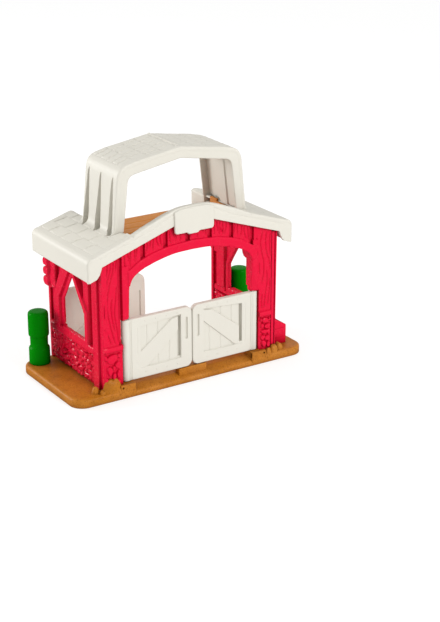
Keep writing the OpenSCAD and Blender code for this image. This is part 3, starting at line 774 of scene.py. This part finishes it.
def side_wall(frame_in):
    b = Build()
    p = Panel(rect(-34.8, 43.3, 6.7, 103), [window()], res=1.0, rnd=0.4, rnd_back=0.3, edge_res=1.4)
    p.field(lambda P, h: h - 0.9)
    p.field(lambda P, h: h - 0.9, back=True)
    # outside: smooth boards with deep dark gaps between them
    p.region([(24.0, 34), (34.4, 34), (34.4, 55), (33.0, 61), (13.2, 99), (13.2, 105), (2.4, 105), (2.4, 92)], 1.3, 0.4, step=2.0)
    p.region([(35.6, 34), (43, 34), (43, 105), (17, 105), (17, 99), (35.6, 62)], -1.3, 0.3, step=2.5)
    p.region(rect(-20.6, -12.6, 34, 105), 0.55, 0.35, step=2.5)
    p.region(rect(-26.3, -20.9, 8, 105), -2.2, 0.25, step=2.5)
    p.region([(-12.3, 66), (-12.3, 105), (1.5, 105), (1.5, 93)], -2.0, 0.3, step=2.0)
    # inside: a board, the frame's brace and the strips under the window
    p.region(rect(24.4, 35.4, 38.6, 105), 1.2, 0.5, back=True, step=2.5)
    p.region(rect(-20.4, -13.4, 34, 105), 0.1, 0.25, back=True, step=2.5)
    p.region(strip_along((3, 85), (-15.5, 59.5), 4.2, 8.6, 30, 3), 0.4, 0.25, back=True, step=2.0)
    for back in (False, True):
        p.region(rect(-27.0 if not back else -24, 42, 8, 32.5), rubble, 0.3, back=back, step=2.0)
    p.region(rect(-34.9, -26.5, 5, 105), 1.4, 0.5, step=2.5)
    p.region(rect(-29.5, 40.5, 31.6, 37.6), 1.45, 0.5, step=2.0)
    p.region(rect(-28.6, 39.6, 32.6, 36.5), 2.0, 0.6, step=2.0)
    p.region(rect(-30, 38.5, 33.6, 38.4), 1.4, 0.5, back=True, step=2.0)
    # leafy moulding near the back corner
    for back in (False, True):
        for cy, cz, ang, ln, wd in [(25, 18, 90, 9, 2.4), (23, 19, 125, 8, 2.2), (27, 19, 55, 8, 2.2), (21.5, 17, 155, 7.5, 2.0),
                                    (28.5, 17, 25, 7.5, 2.0), (25, 12, 80, 6, 2.6), (20.5, 12.5, 170, 5, 1.8), (30.5, 12.5, 10, 5, 1.8)]:
            c, s = math.cos(math.radians(ang)), math.sin(math.radians(ang))
            t = np.linspace(0, 1, 8)
            w = np.sin(np.pi * t) ** 0.8 * wd * 0.5 + 0.12
            up = np.c_[cy + c * ln * t - s * w, cz + s * ln * t + c * w]
            dn = np.c_[cy + c * ln * t + s * w, cz + s * ln * t - c * w][::-1]
            p.region(np.vstack([dn[::-1], up[::-1]]), 1.6, 0.3, back=back, step=0.9)
    # grain on the smooth boards
    for y0, z0, z1 in [(31.4, 40, 58), (-18.2, 39, 70), (-31.2, 46, 78)]:
        p.groove([(y0, z1), (y0 + 0.5, (z0 + z1) / 2 + 4), (y0 - 0.3, z0)], 0.4, 0.2)
    # window frame: proud on the outside, thinned from the inside
    p.region(window(4.6), 1.9, 0.45, step=1.4)
    p.region([(19.0, 38), (24.2, 38), (24.2, 60.6), (3.6, 92.5), (2.6, 85.5), (19.0, 60)], -0.2, 0.3, step=1.4)
    p.region(window(3.3), frame_in, 0.3, back=True, step=1.4)
    p.into(b, right_at(74.5), 3.0)
    # back post, flange and screw towers
    block(b, 70.5, 74.7, 40.5, 43.4, 6.7, 103, 0.3)
    block(b, 69.6, 72.0, -37, -29, 6.7, 103, 0.3)
    for y in (0, 30):
        b.lathe([(3.2, 6.7), (3.2, 18.3), (2.9, 18.7)], 68, y, 28)
        block(b, 68, 73, y - 2, y + 2, 6.7, 18.7, 0.2)
    # lobed block at the back corner
    lob = []
    zs = np.arange(68.8, 100.0, 7.3)
    for z in zs:
        lob += arc(41.9, z, 3.9, -66, 66, 8).tolist()
    q = Panel(np.array([(29.2, 65.4)] + [(40.6, 65.0)] + lob + [(29.2, 101.0)], float), res=0.9, rnd=0.9, rnd_back=0.5)
    q.region([(28, 64), (37.6, 66.6), (38.2, 101.5), (28, 102)], lambda P: -2.2 + 0.9 * value_noise(P * [1.0, 0.5], 1.6, 3), 0.5, step=1.6)
    for z in (zs[:-1] + zs[1:]) / 2:
        q.groove([(45.5, z), (41.6, z + 0.3), (38.4, z - 0.6)], 1.0, 1.5)
    q.into(b, right_at(77.9), 6.9)
    return b


right = side_wall(0.5)
left = side_wall(-2.0).mirrored()
block(left, -72.6, -62.8, 35.5, 42.3, 60.2, 65.2, 0.4)
right.make("right_side_wall_moulding", RED, "root", ["right_side_wall"], "red")
left.make("left_side_wall_moulding", RED, "root", ["left_side_wall"], "red")


# ------------------------------------------------------------------ front doors
def leaf(sign):
    """Front door, hinge at x = sign * 55.1."""
    b = Build()

    def X(a):
        return sign * a
    o = np.vstack([[(53.4, 11.1)], [(53.4, 58.4)], arc(5.25, 53.4, 5, 90, 180, 8), arc(5.25, 16.1, 5, 180, 270, 8)])
    loop = np.c_[sign * o[:, 0], o[:, 1]]
    p = Panel(loop, res=1.1, rnd=0.8, rnd_back=0.8, edge_res=1.2)
    for back in (False, True):
        deep = -1.15 if not back else -0.9
        top = [(10.2, 53.6), (43.6, 51.2)]
        p.region([(X(10.2), 19.6), (X(43.6), 19.0), (X(43.6), top[1][1]), (X(10.2), top[0][1])], deep, 0.3, back=back, step=1.6)
        lines = (19.4, 29.1, 38.4) if sign < 0 else (15.4, 25.2, 35.0)
        for x in lines:
            p.groove([(X(x), 19.8), (X(x), 35), (X(x), 51.6)], 0.45, 0.35, back=back, smooth=False, taper=False)
        brace = [(37.8, 19.2), (46.6, 19.2), (46.6, 29.9), (17.5, 51.9), (8.4, 53.2), (8.4, 45.4)]
        p.region([(X(a), z) for a, z in brace], -0.12, 0.28, back=back, step=1.6)
        # mitre lines of the brace
        p.groove([(X(37.8), 19.6), (X(23.1), 32.5), (X(10.0), 44.0)], 0.3, 0.3, back=back, smooth=False, taper=False)
        p.groove([(X(43.8), 32.0), (X(32), 41.0), (X(19.5), 50.4)], 0.3, 0.3, back=back, smooth=False, taper=False)
    # shadow slot at the right-hand end of the panel, and the finger slot
    if sign < 0:
        p.region([(-12.3, 21), (-10.0, 21), (-10.0, 52.6), (-12.3, 52.4)], -2.9, 0.22, step=1.6)
    else:
        p.region([(41.6, 21), (43.8, 21), (43.8, 50.6), (41.6, 50.8)], -2.9, 0.22, step=1.6)
    p.region(rect(*sorted((X(4.2), X(5.9))), 33.5, 50.5, 0.8), -1.1, 0.25, step=1.4)
    # thin parting line beside the hinge barrel and shallow board ends on the stiles
    p.groove([(X(51.8), 11.3), (X(51.8), 35), (X(51.8), 58.2)], 0.5, 0.4, smooth=False, taper=False)
    p.groove([(X(46.8), 20.5), (X(46.9), 36), (X(46.8), 52)], 0.35, 0.16, smooth=False)
    for x in (13, 22, 31, 40):
        p.region(arc(X(x), 55.3, 0.55, 0, 330, 11), 0.28, 0.15, step=0.4)
        p.region(arc(X(x), 15.4, 0.55, 0, 330, 11), 0.28, 0.15, step=0.4)
    p.into(b, front_at(-40.5), 4.2)
    b.lathe([(2.5, 11.1), (2.95, 11.4), (3.1, 11.8), (3.1, 57.7), (2.95, 58.1), (2.5, 58.4)], X(55.1), -38, 36)
    return b


leaf(-1).make("left_front_door_leaf", CREAM, "left_front_door", ["left_front_door"], "cream")
leaf(1).make("right_front_door_leaf", CREAM, "right_front_door", ["right_front_door"], "cream")

# ------------------------------------------------------------------ rear gate
gate = Build()
o = np.vstack([[(-64.7, 11.1)], arc(5 - 5, 16.1, 5, 270, 360, 7), arc(5 - 6, 53.8, 6, 0, 90, 8), [(-64.7, 59.8)]])
p = Panel(o, res=1.3, rnd=0.8, rnd_back=0.8)
for back in (False, True):
    p.region(rect(-57.2, 0.6, 17.1, 53.8, 1.2), -1.2, 0.3, back=back, step=1.8)
    for x in (-47.6, -38, -28.3, -18.7, -9):
        p.groove([(x, 17.4), (x, 35), (x, 53.5)], 0.45, 0.35, back=back, smooth=False, taper=False)
    p.region([(-57.5, 16.9), (-47.5, 16.9), (0.9, 47), (0.9, 54), (-8.5, 54), (-57.5, 23.2)], -0.15, 0.3, back=back, step=1.8)
p.into(gate, front_at(36.8), 4.2)
gate.lathe([(2.5, 11.1), (2.95, 11.4), (3.1, 11.8), (3.1, 59.1), (2.95, 59.5), (2.5, 59.8)], -66.2, 38.9, 36)
gate.make("rear_gate_leaf", CREAM, "rear_gate", ["rear_gate"], "cream")

# ------------------------------------------------------------------ feed trough
trough = Build()
p = Panel(rect(75.5, 91, -32.5, -7.5, 1.0), res=1.3, rnd=0.7, rnd_back=0.3)


def trough_top(P, h):
    return h - np.clip((P[:, 0] - 81) * 0.58, 0, 6.1)


p.field(trough_top)
p.region(rect(77.5, 89, -30.5, -9.5, 1.0), -17.4, 0.25, step=1.4)
p.into(trough, top_at(27.4), 27.4 - 6.7)
trough.prism(rect(76.6, 90.0, 12.4, 19.6, 0.8), front_at(0), 32.45, 32.9, 0.3)
trough.make("feed_trough_moulding", RED, "root", ["feed_trough"], "red")

# ------------------------------------------------------------------ loft
TRAY_Z = 105.0
tray = Build()
block(tray, -68, 68, -24.2, 41.7, TRAY_Z - 2.4, TRAY_Z, 0.4)
for s in (-1, 1):
    block(tray, *sorted((s * 48.0, s * 50.0)), -24.2, 10.2, TRAY_Z - 1, TRAY_Z + 14.6, 0.4)
    block(tray, *sorted((s * 48.1, s * 49.9)), 1.0, 10.1, TRAY_Z + 12, TRAY_Z + 16.6, 0.2)
p = Panel(rect(-49.9, 49.9, -24.2, 40.9), res=2.6, rnd=0.2)
for y in (-14, -3.5, 7, 17.5, 28):
    p.groove([(-47.5, y), (0, y), (47.5, y)], 0.55, 0.4, smooth=False)
p.into(tray, top_at(TRAY_Z + 0.35), 1.0)
block(tray, -50, 50, -24.2, -22.2, TRAY_Z - 2.4, TRAY_Z + 4.4, 0.4)
block(tray, -50, 50, -37.9, -22.9, TRAY_Z + 2.3, TRAY_Z + 4.4, 0.4)
block(tray, -68, 68, 39.7, 41.7, TRAY_Z - 4.5, TRAY_Z - 0.2, 0.4)
tray.make("loft_tray_moulding", TAN, "root", ["loft_tray"], "brown")


# ------------------------------------------------------------------ roof
def roof_z(x):
    return 138.0 - 0.33 * abs(x)


def shingles(p, rows, y0, y1, base=0.0, rise=0.75, seed=1, slant=1.8, cut=0.8):
    """Rows of overlapping tiles; rows is (u0, u1, joints) with the joints' places along v."""
    r = np.random.default_rng(seed)
    for u0, u1, joints in rows:
        ends = [y0] + sorted(joints) + [y1]
        for i in range(len(ends) - 1):
            a, b = ends[i], ends[i + 1]
            s0 = slant if i > 0 else 0.0
            s1 = slant if i < len(ends) - 2 else 0.0
            a0, a1 = a + 0.25, a + 0.25 + s0
            b0, b1 = b - 0.25, b - 0.25 + s1
            if s1 == 0.0:
                b1 = b0
            if s0 == 0.0:
                a1 = a0
            lift = base + 0.1 + 0.18 * r.random()

            def tile(P, a=a, b=b, u0=u0, u1=u1, lift=lift):
                t = (P[:, 1] - a) / (b - a)
                return lift + rise * np.clip(t, 0, 1) ** 1.5 + 0.16 * (value_noise(P * [0.5, 1.0], 2.6, 17) - 0.5)
            p.region([(u0 + 0.02, a0), (u1 - 0.02, a1), (u1 - 0.02, b1), (u0 + 0.02, b0)], tile, 0.3, step=1.4)
            if i > 0:
                w = u1 - u0
                p.groove([(u0 + 0.12 * w, a + 0.1 * slant), (u0 + 0.5 * w, a + 0.5 * slant), (u1 - 0.08 * w, a + slant)], cut, cut * 1.05)


def slope():
    b = Build()
    prof = Profile(np.vstack([[(50.1, roof_z(50.1)), (82, roof_z(82))], arc(81.8, roof_z(82) - 5, 5.2, 66, 0, 8), [(87, 93)]]))
    L = prof.length
    p = Panel([(0, -43.7), (L, -43.7), (L, 43.3), (3.05, 43.3), (3.05, 20.3), (0, 20.3)], res=1.35, rnd=1.5, rnd_back=0.3, edge_res=1.3,
              soft_edge=lambda M: ~((M[:, 0] < 0.05) & (M[:, 1] < -32.6)) & ~((M[:, 1] > 20.2) & (M[:, 1] < 20.5)))
    k = 1.0534

    def fall(P, h):
        x = 50.1 + P[:, 0] / k
        new = 136.1 - 0.306 * x
        q = np.clip(56.2 - x, 0, 4.15)
        new = new - (4.2 - np.sqrt(np.maximum(4.2 ** 2 - np.minimum(q, 3.3) ** 2, 0)))
        full = np.clip(138.0 - 0.33 * x - new, 0, 9) * 0.95
        flat = np.clip(138.0 - 0.33 * x - 136.1 + 0.306 * x, 0, 2) * 0.95
        back = np.clip((P[:, 1] - 20.2) / 0.8, 0, 1)
        front = np.clip((P[:, 1] + 36.0) / 6.0, 0, 1)
        return h - np.where(x < 82, full * back + flat * front * (1 - back), 0)
    p.region([(1.4, -39.3), (31.4, -39.3), (31.4, 41.6), (1.4, 41.6)], -0.25, 0.3, step=2.0)
    rows = [((52.0 - 50.1) * k, (60.9 - 50.1) * k, (27.0, 9.5, -8.0, -27.5)),
            ((60.9 - 50.1) * k, (70.6 - 50.1) * k, (34.0, 17.2, 0.6, -17.4)),
            ((70.6 - 50.1) * k, (79.8 - 50.1) * k, (25.8, 7.8, -8.6, -26.0))]
    shingles(p, rows, -38.9, 41.2, -0.15, 0.35, 5, 2.2, 1.25)
    for u in (4.9, 6.0):
        p.lines.append(resample([(u, 21.9), (u, 41.6)], 1.3, closed=False))
    p.lines.append(resample([(4.9, 21.0), (9.0, 21.0)], 1.3, closed=False))
    # pockets that the handle's flutes run down into
    for yk in (11.0, -6.5, -23.7):
        q = [(-60.7, yk + 1.6), (-57.7, yk - 2.3), (-55.0, yk - 0.5), (-53.0, yk + 1.5), (-53.0, yk + 7.4), (-56.2, yk + 7.4)]
        p.region([((-x - 50.1) * k, y) for x, y in q], -2.0, 0.2, step=0.9)
    p.field(fall)
    p.into(b, prof.to3, 2.4)
    return b, prof


roof = Build()
one, slope_prof = slope()
roof.take(one).take(one.mirrored())
# front strip over the gable, higher in the middle
strip_half = curve([(0, 136.1), (8, 135.9), (12.5, 135.5), (16.5, 134.6), (22, 132.8), (28, 130.6), (39.6, 126.1)], 4)
STRIP = Profile(both_ways(np.vstack([strip_half, [(50.2, roof_z(50.2))]])))
p = Panel(rect(0, STRIP.length, -43.7, -33.0), res=1.2, rnd=1.3, rnd_back=0.3, edge_res=1.2,
          soft_edge=lambda M: (M[:, 0] > 0.05) & (M[:, 0] < STRIP.length - 0.05))
p.region(rect(-1, STRIP.length + 1, -39.8, -32), lambda P: -1.1 - 0.30 * np.clip(P[:, 1] + 39.8, 0, 9), 0.3, step=1.6)
for x in (-38, -25, -12, 4, 18, 31, 43):
    u = STRIP.at_x(x)
    p.groove([(u, -39.0), (u + 0.6, -36), (u + 0.3, -33.4)], 0.4, 0.35)
p.into(roof, STRIP.to3, 2.6)
top_half = np.vstack([strip_half, [(50.2, roof_z(50.2)), (82, roof_z(82))], arc(81.8, roof_z(82) - 5, 5.2, 66, 0, 8), [(87, 98)]])


def gable(inset, low):
    t = top_half.copy()
    g = np.gradient(t, axis=0)
    g /= np.linalg.norm(g, axis=1)[:, None]
    t = t - np.c_[-g[:, 1], g[:, 0]] * inset
    t[0] = (0, 136.1 - inset)
    return both_ways(np.vstack([t, low]))


low = [(87 - 1.1, 94.2), (86.6, 93.0), (84.9, 93.0), (79.6, 94.9), (77.9, 97.2), (76.3, 100), (75.6, 103.2), (75.3, 103.5)]
outer = gable(1.1, low[:3])
fascia = np.vstack([outer, [(79.6, 94.9), (77.4, 97.6), (76.2, 100.4), (75.4, 103.1), (0.0, 128.4)],
                    [(-75.4, 103.1), (-76.2, 100.4), (-77.4, 97.6), (-79.6, 94.9)]])
p = Panel(fascia, res=1.5, rnd=0.35, rnd_back=0.2, edge_res=1.6)
p.groove(both_ways([(0.0, 132.9), (12, 132.2), (18, 130.6), (26, 127.0), (34, 123.2), (50, 118.0), (78, 108.4)]), 0.6, 0.28, smooth=False, taper=False)
p.into(roof, front_at(-43.66), 2.4)
rear = np.vstack([[(52.2, 108), (52.2, 116.8), (53.4, 117.9), (55.8, 118.3), (82, roof_z(82) - 1.0)], arc(81.6, roof_z(82) - 5.2, 4.3, 66, 0, 6),
                  [(85.9, 94.0), (84.0, 93.4), (79.4, 95), (76.4, 100), (75.3, 103.4)]])
for s in (-1, 1):
    loop = rear * [s, 1]
    roof.prism(loop, back_at(0), 41.7, 43.26, 0.2)
    block(roof, *sorted((s * 50.15, s * 52.4)), -31, 3.0, TRAY_Z + 1, 118.2, 0.4)
    block(roof, *sorted((s * 50.15, s * 52.4)), 2.6, 18.4, TRAY_Z + 1, 115.4, 0.3)
    block(roof, *sorted((s * 52.1, s * 54.6)), 20.3, 43.1, TRAY_Z + 1, 118.3, 0.9)
    for y in (-20, 30):
        roof.lathe([(3.2, TRAY_Z + 0.1), (3.2, roof_z(64) - 1.5)], s * 64, y, 28)
    for y in (-16, 9):
        roof.lathe([(3.5, TRAY_Z + 2), (3.5, roof_z(54.2) - 2)], s * 54.2, y, 28)
roof.make("roof_shell_moulding", CREAM, "root", ["roof_shell"], "cream")

sign = Build()
loop = np.vstack([[(-4.5, 115.3), (2.5, 115.3), (4.5, 116.7)], arc(14.2, 119.0, 2.3, 270, 352, 6), [(16.7, 133.3), (12.5, 134.5), (8, 135.1), (0, 135.3), (-8, 135.1), (-12.5, 134.5), (-16.9, 133.2)], arc(-14.2, 119.0, 2.3, 188, 270, 6), [(-6.5, 116.7)]])
p = Panel(loop, res=1.1, rnd=0.9, rnd_back=0.1)
p.into(sign, front_at(-45.0), 1.35)
sign.make("sign_plate_moulding", CREAM, "root", ["sign_plate"], "cream")

# ------------------------------------------------------------------ handle
Y0, Y1 = -26.7, 19.9
H_OUT = [(0, 175.3), (2.0, 174.9), (16.5, 172.7), (37, 169.7), (44.5, 167.9), (48.2, 166.4), (50.4, 164.4), (51.7, 161.8), (52.5, 158.6), (56.05, 123.4), (56.6, 121.0), (57.6, 119.4), (58.9, 118.4), (60.3, 117.85)]
H_IN = [(0, 166.6), (17, 163.8), (38.5, 160.2), (41.2, 159.2), (42.9, 157.4), (43.8, 154.6), (47.9, 119.3)]
outer_line = both_ways(H_OUT)
prof = Profile(outer_line, 0.5)
L = prof.length
handle = Build()
p = Panel(rect(0, L, Y0, Y1), res=1.25, rnd=1.1, rnd_back=0.3, edge_res=1.25,
          soft_edge=lambda M: (M[:, 0] > 0.05) & (M[:, 0] < L - 0.05))
LEG = np.array([(60.3, 117.85), (58.9, 118.4), (57.6, 119.4), (56.6, 121.0), (56.05, 123.4), (52.5, 158.6), (51.7, 161.8)])
LEG_S = np.r_[0, np.cumsum(np.linalg.norm(np.diff(LEG, axis=0), axis=1))]


def leg_u(z, side):
    d = float(np.interp(z, LEG[:, 1], LEG_S))
    return d if side < 0 else L - d


for side in (-1, 1):
    for yf in (11.0, -6.5, -23.7):
        deep = [2.6, 2.8, 3.0, 2.2, 1.2] if side > 0 or yf < -20 else [3.0, 4.2, 5.0, 2.6, 1.2]
        line = [(159.4, 3.2), (156.3, 4.4), (145.3, 5.3), (133.5, 6.2), (123.5, 7.3), (120.5, 6.4), (117.86, 1.5), (117.86, 0.6), (119.2, -2.3), (121.6, -0.2), (128, 0.3), (150, 2.1), (156.5, 2.7)]

        def floor(P, side=side, deep=deep):
            d = P[:, 0] if side < 0 else L - P[:, 0]
            return -np.interp(d, [0, 3, 8, 40, 46], deep)
        top, bot = (5.2 if yf < -20 else 9.0), (0.2 if yf > 5 else -9.0)
        p.region([(leg_u(z, side), yf + min(max(y, bot), top)) for z, y in line], floor, 0.28, step=1.3)
# shingled top between smooth rims
mid = prof.at_x(0.0)
p.region([(prof.at_x(-47.5), -22.3), (prof.at_x(47.5), -22.3), (prof.at_x(47.5), 18.2), (prof.at_x(-47.5), 18.2)], -0.25, 0.3, step=2.0)
rows = []
for s in (-1, 1):
    for i, (a, bb) in enumerate([(2.2, 12.8), (13.4, 24.4), (25.0, 35.8), (36.4, 46.8)]):
        u0, u1 = sorted((prof.at_x(s * a), prof.at_x(s * bb)))
        rows.append((u0, u1, ((-15.5, -8.0, 0.5, 9.0), (-18.0, -11.0, -3.0, 4.5, 12.5), (-14.0, -6.5, 1.5, 9.5), (-17.5, -10.5, -2.5, 6.0, 13.0))[i]))
shingles(p, rows, -21.9, 17.9, -0.15, 0.35, 9, 1.2, 1.1)
p.region(rect(mid - 1.0, mid + 1.0, -22.0, 19.0, 0.8), 0.45, 0.4, step=1.6)
p.into(handle, prof.to3, 3.4)


def inset_line(half, d):
    t = np.array(half, float)
    g = np.gradient(t, axis=0)
    g /= np.linalg.norm(g, axis=1)[:, None]
    t = t - np.c_[-g[:, 1], g[:, 0]] * d
    t[0, 0] = 0
    return t


flange = np.vstack([both_ways(inset_line(H_OUT, 0.85)), both_ways(H_IN)[::-1]])
p = Panel(flange, res=1.6, rnd=0.7, rnd_back=0.3, edge_res=1.5, soft_edge=lambda M: ~(seg_dist(M, *(lambda q: (q[:-1], q[1:]))(both_ways(inset_line(H_OUT, 0.85)))) < 0.4))
p.into(handle, front_at(Y0 + 0.03), 2.5)
p = Panel(flange, res=1.8, rnd=0.6, rnd_back=0.3, edge_res=1.6, soft_edge=lambda M: ~(seg_dist(M, *(lambda q: (q[:-1], q[1:]))(both_ways(inset_line(H_OUT, 0.85)))) < 0.4))
p.into(handle, back_at(Y1 - 0.03), 1.3)
for s in (-1, 1):
    block(handle, *sorted((s * 48.0, s * 55.6)), 18.6, 19.87, 112.5, 120.2, 0.2)
handle.make("handle_shell_moulding", CREAM, "root", ["handle_shell"], "cream")

inner = Build()
iprof = Profile(both_ways(H_IN), 0.5)
LI = iprof.length
end = [(2.9, -24.1), (2.2, -18), (1.7, -10), (1.8, -6.8), (2.8, -4.2), (4.8, -2.4), (8, -1.3), (14, -0.6), (30, 0.8), (42, 1.6)]
loop = [(u, y) for u, y in end] + [(LI - u, y) for u, y in end[::-1]]
p = Panel(np.array(loop), res=1.4, rnd=0.5, rnd_back=0.3)
# W points away from the hand here, so the worked face is the back one
p.region([(-2, -17.2), (LI + 2, -17.2), (LI + 2, -14.0), (-2, -14.0)], -1.0, 0.25, back=True, step=2.0)
p.into(inner, lambda u, v, w: iprof.to3(u, v, w + 3.0), 2.6)
inner.make("handle_liner_moulding", CREAM, "root", ["handle_liner"], "cream")

# ------------------------------------------------------------------ posts
for (x, y, h), nm in zip(POSTS, ("left", "right")):
    b = Build()
    t = 6.7 + h
    b.lathe([(7.6, 6.7), (7.95, 7.1), (8.0, 8.0), (7.9, 18.9), (7.6, 19.7), (7.0, 20.1), (6.75, 20.6), (6.7, 24.0), (6.8, 28.3), (7.1, 28.9), (7.5, 29.2),
             (7.75, 29.9), (7.8, 34.0), (7.7, t - 2.4), (7.4, t - 1.1), (6.9, t - 0.5), (6.2, t - 0.15), (4.5, t - 0.05), (2.0, t), (0.3, t)], x, y, 56)
    b.make(nm + "_post_moulding", GREEN, "root", [nm + "_corner_post"], "green")

# ------------------------------------------------------------------ screws and pins stay as they are
for n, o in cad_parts.items():
    if not o.hide_render:
        o.data.materials.clear()
        o.data.materials.append(STEEL)

# ------------------------------------------------------------------ stage
sc = bpy.context.scene
sc.view_settings.view_transform = "Standard"
me = bpy.data.meshes.new("floor")
me.from_pydata([(-6, -4, -0.0002), (6, -4, -0.0002), (6, 9, -0.0002), (-6, 9, -0.0002)], [], [(0, 1, 2, 3)])
floor = bpy.data.objects.new("floor", me)
sc.collection.objects.link(floor)
fm = bpy.data.materials.new("floor_white")
fm.use_nodes = True
fb = fm.node_tree.nodes["Principled BSDF"]
fb.inputs["Base Color"].default_value = (0.38, 0.38, 0.378, 1)
fb.inputs["Roughness"].default_value = 0.8
fb.inputs["Emission Color"].default_value = (1, 1, 1, 1)
fb.inputs["Emission Strength"].default_value = 0.64
me.materials.append(fm)
floor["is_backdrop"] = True
floor.visible_glossy = False

w = bpy.data.worlds.new("studio")
sc.world = w
w.use_nodes = True
nt = w.node_tree
bg = nt.nodes["Background"]
co, sep, mr = nt.nodes.new("ShaderNodeTexCoord"), nt.nodes.new("ShaderNodeSeparateXYZ"), nt.nodes.new("ShaderNodeMapRange")
nt.links.new(co.outputs["Generated"], sep.inputs[0])
nt.links.new(sep.outputs["Z"], mr.inputs["Value"])
mr.inputs["From Min"].default_value = -0.04
mr.inputs["From Max"].default_value = 0.0
mr.inputs["To Min"].default_value = 0.12
mr.inputs["To Max"].default_value = 0.76
nt.links.new(mr.outputs["Result"], bg.inputs["Strength"])
bg.inputs["Color"].default_value = (1, 1, 1, 1)


def area_light(name, loc, target, size, power):
    d = bpy.data.lights.new(name, "AREA")
    d.shape = "RECTANGLE"
    d.size, d.size_y = size
    d.energy = power
    o = bpy.data.objects.new(name, d)
    sc.collection.objects.link(o)
    o.location = loc
    o.rotation_euler = (Vector(target) - Vector(loc)).to_track_quat("-Z", "Y").to_euler()
    o.visible_camera = False
    return o


area_light("key", (0.36, -1.50, 0.92), (0, 0, 0.08), (0.6, 0.5), 16)
area_light("side", (-1.02, 1.02, 0.40), (0, 0, 0.08), (0.6, 0.5), 14)
for name, loc, power in (("inside", (-0.005, -0.004, 0.066), 0.046), ("under_handle", (-0.004, 0.0, 0.138), 0.012)):
    d = bpy.data.lights.new(name, "POINT")
    d.energy, d.shadow_soft_size = power, 0.02
    d.color = (0.84, 0.95, 1.0)
    o = bpy.data.objects.new(name, d)
    sc.collection.objects.link(o)
    o.location = loc
    o.visible_camera = False
    o.visible_glossy = False

# ------------------------------------------------------------------ camera
cd = bpy.data.cameras.new("camera")
cam = bpy.data.objects.new("camera", cd)
sc.collection.objects.link(cam)
sc.camera = cam
cd.sensor_fit = "HORIZONTAL"
cd.sensor_width = 36
cd.lens = 120.52
cd.clip_start, cd.clip_end = 0.01, 50
cam.location = (-0.5339, -0.8972, 0.4411)
cam.rotation_mode = "QUATERNION"
cam.rotation_quaternion = (-Vector((-0.50970, -0.78235, 0.35797))).to_track_quat("-Z", "Y")

lo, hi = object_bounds()
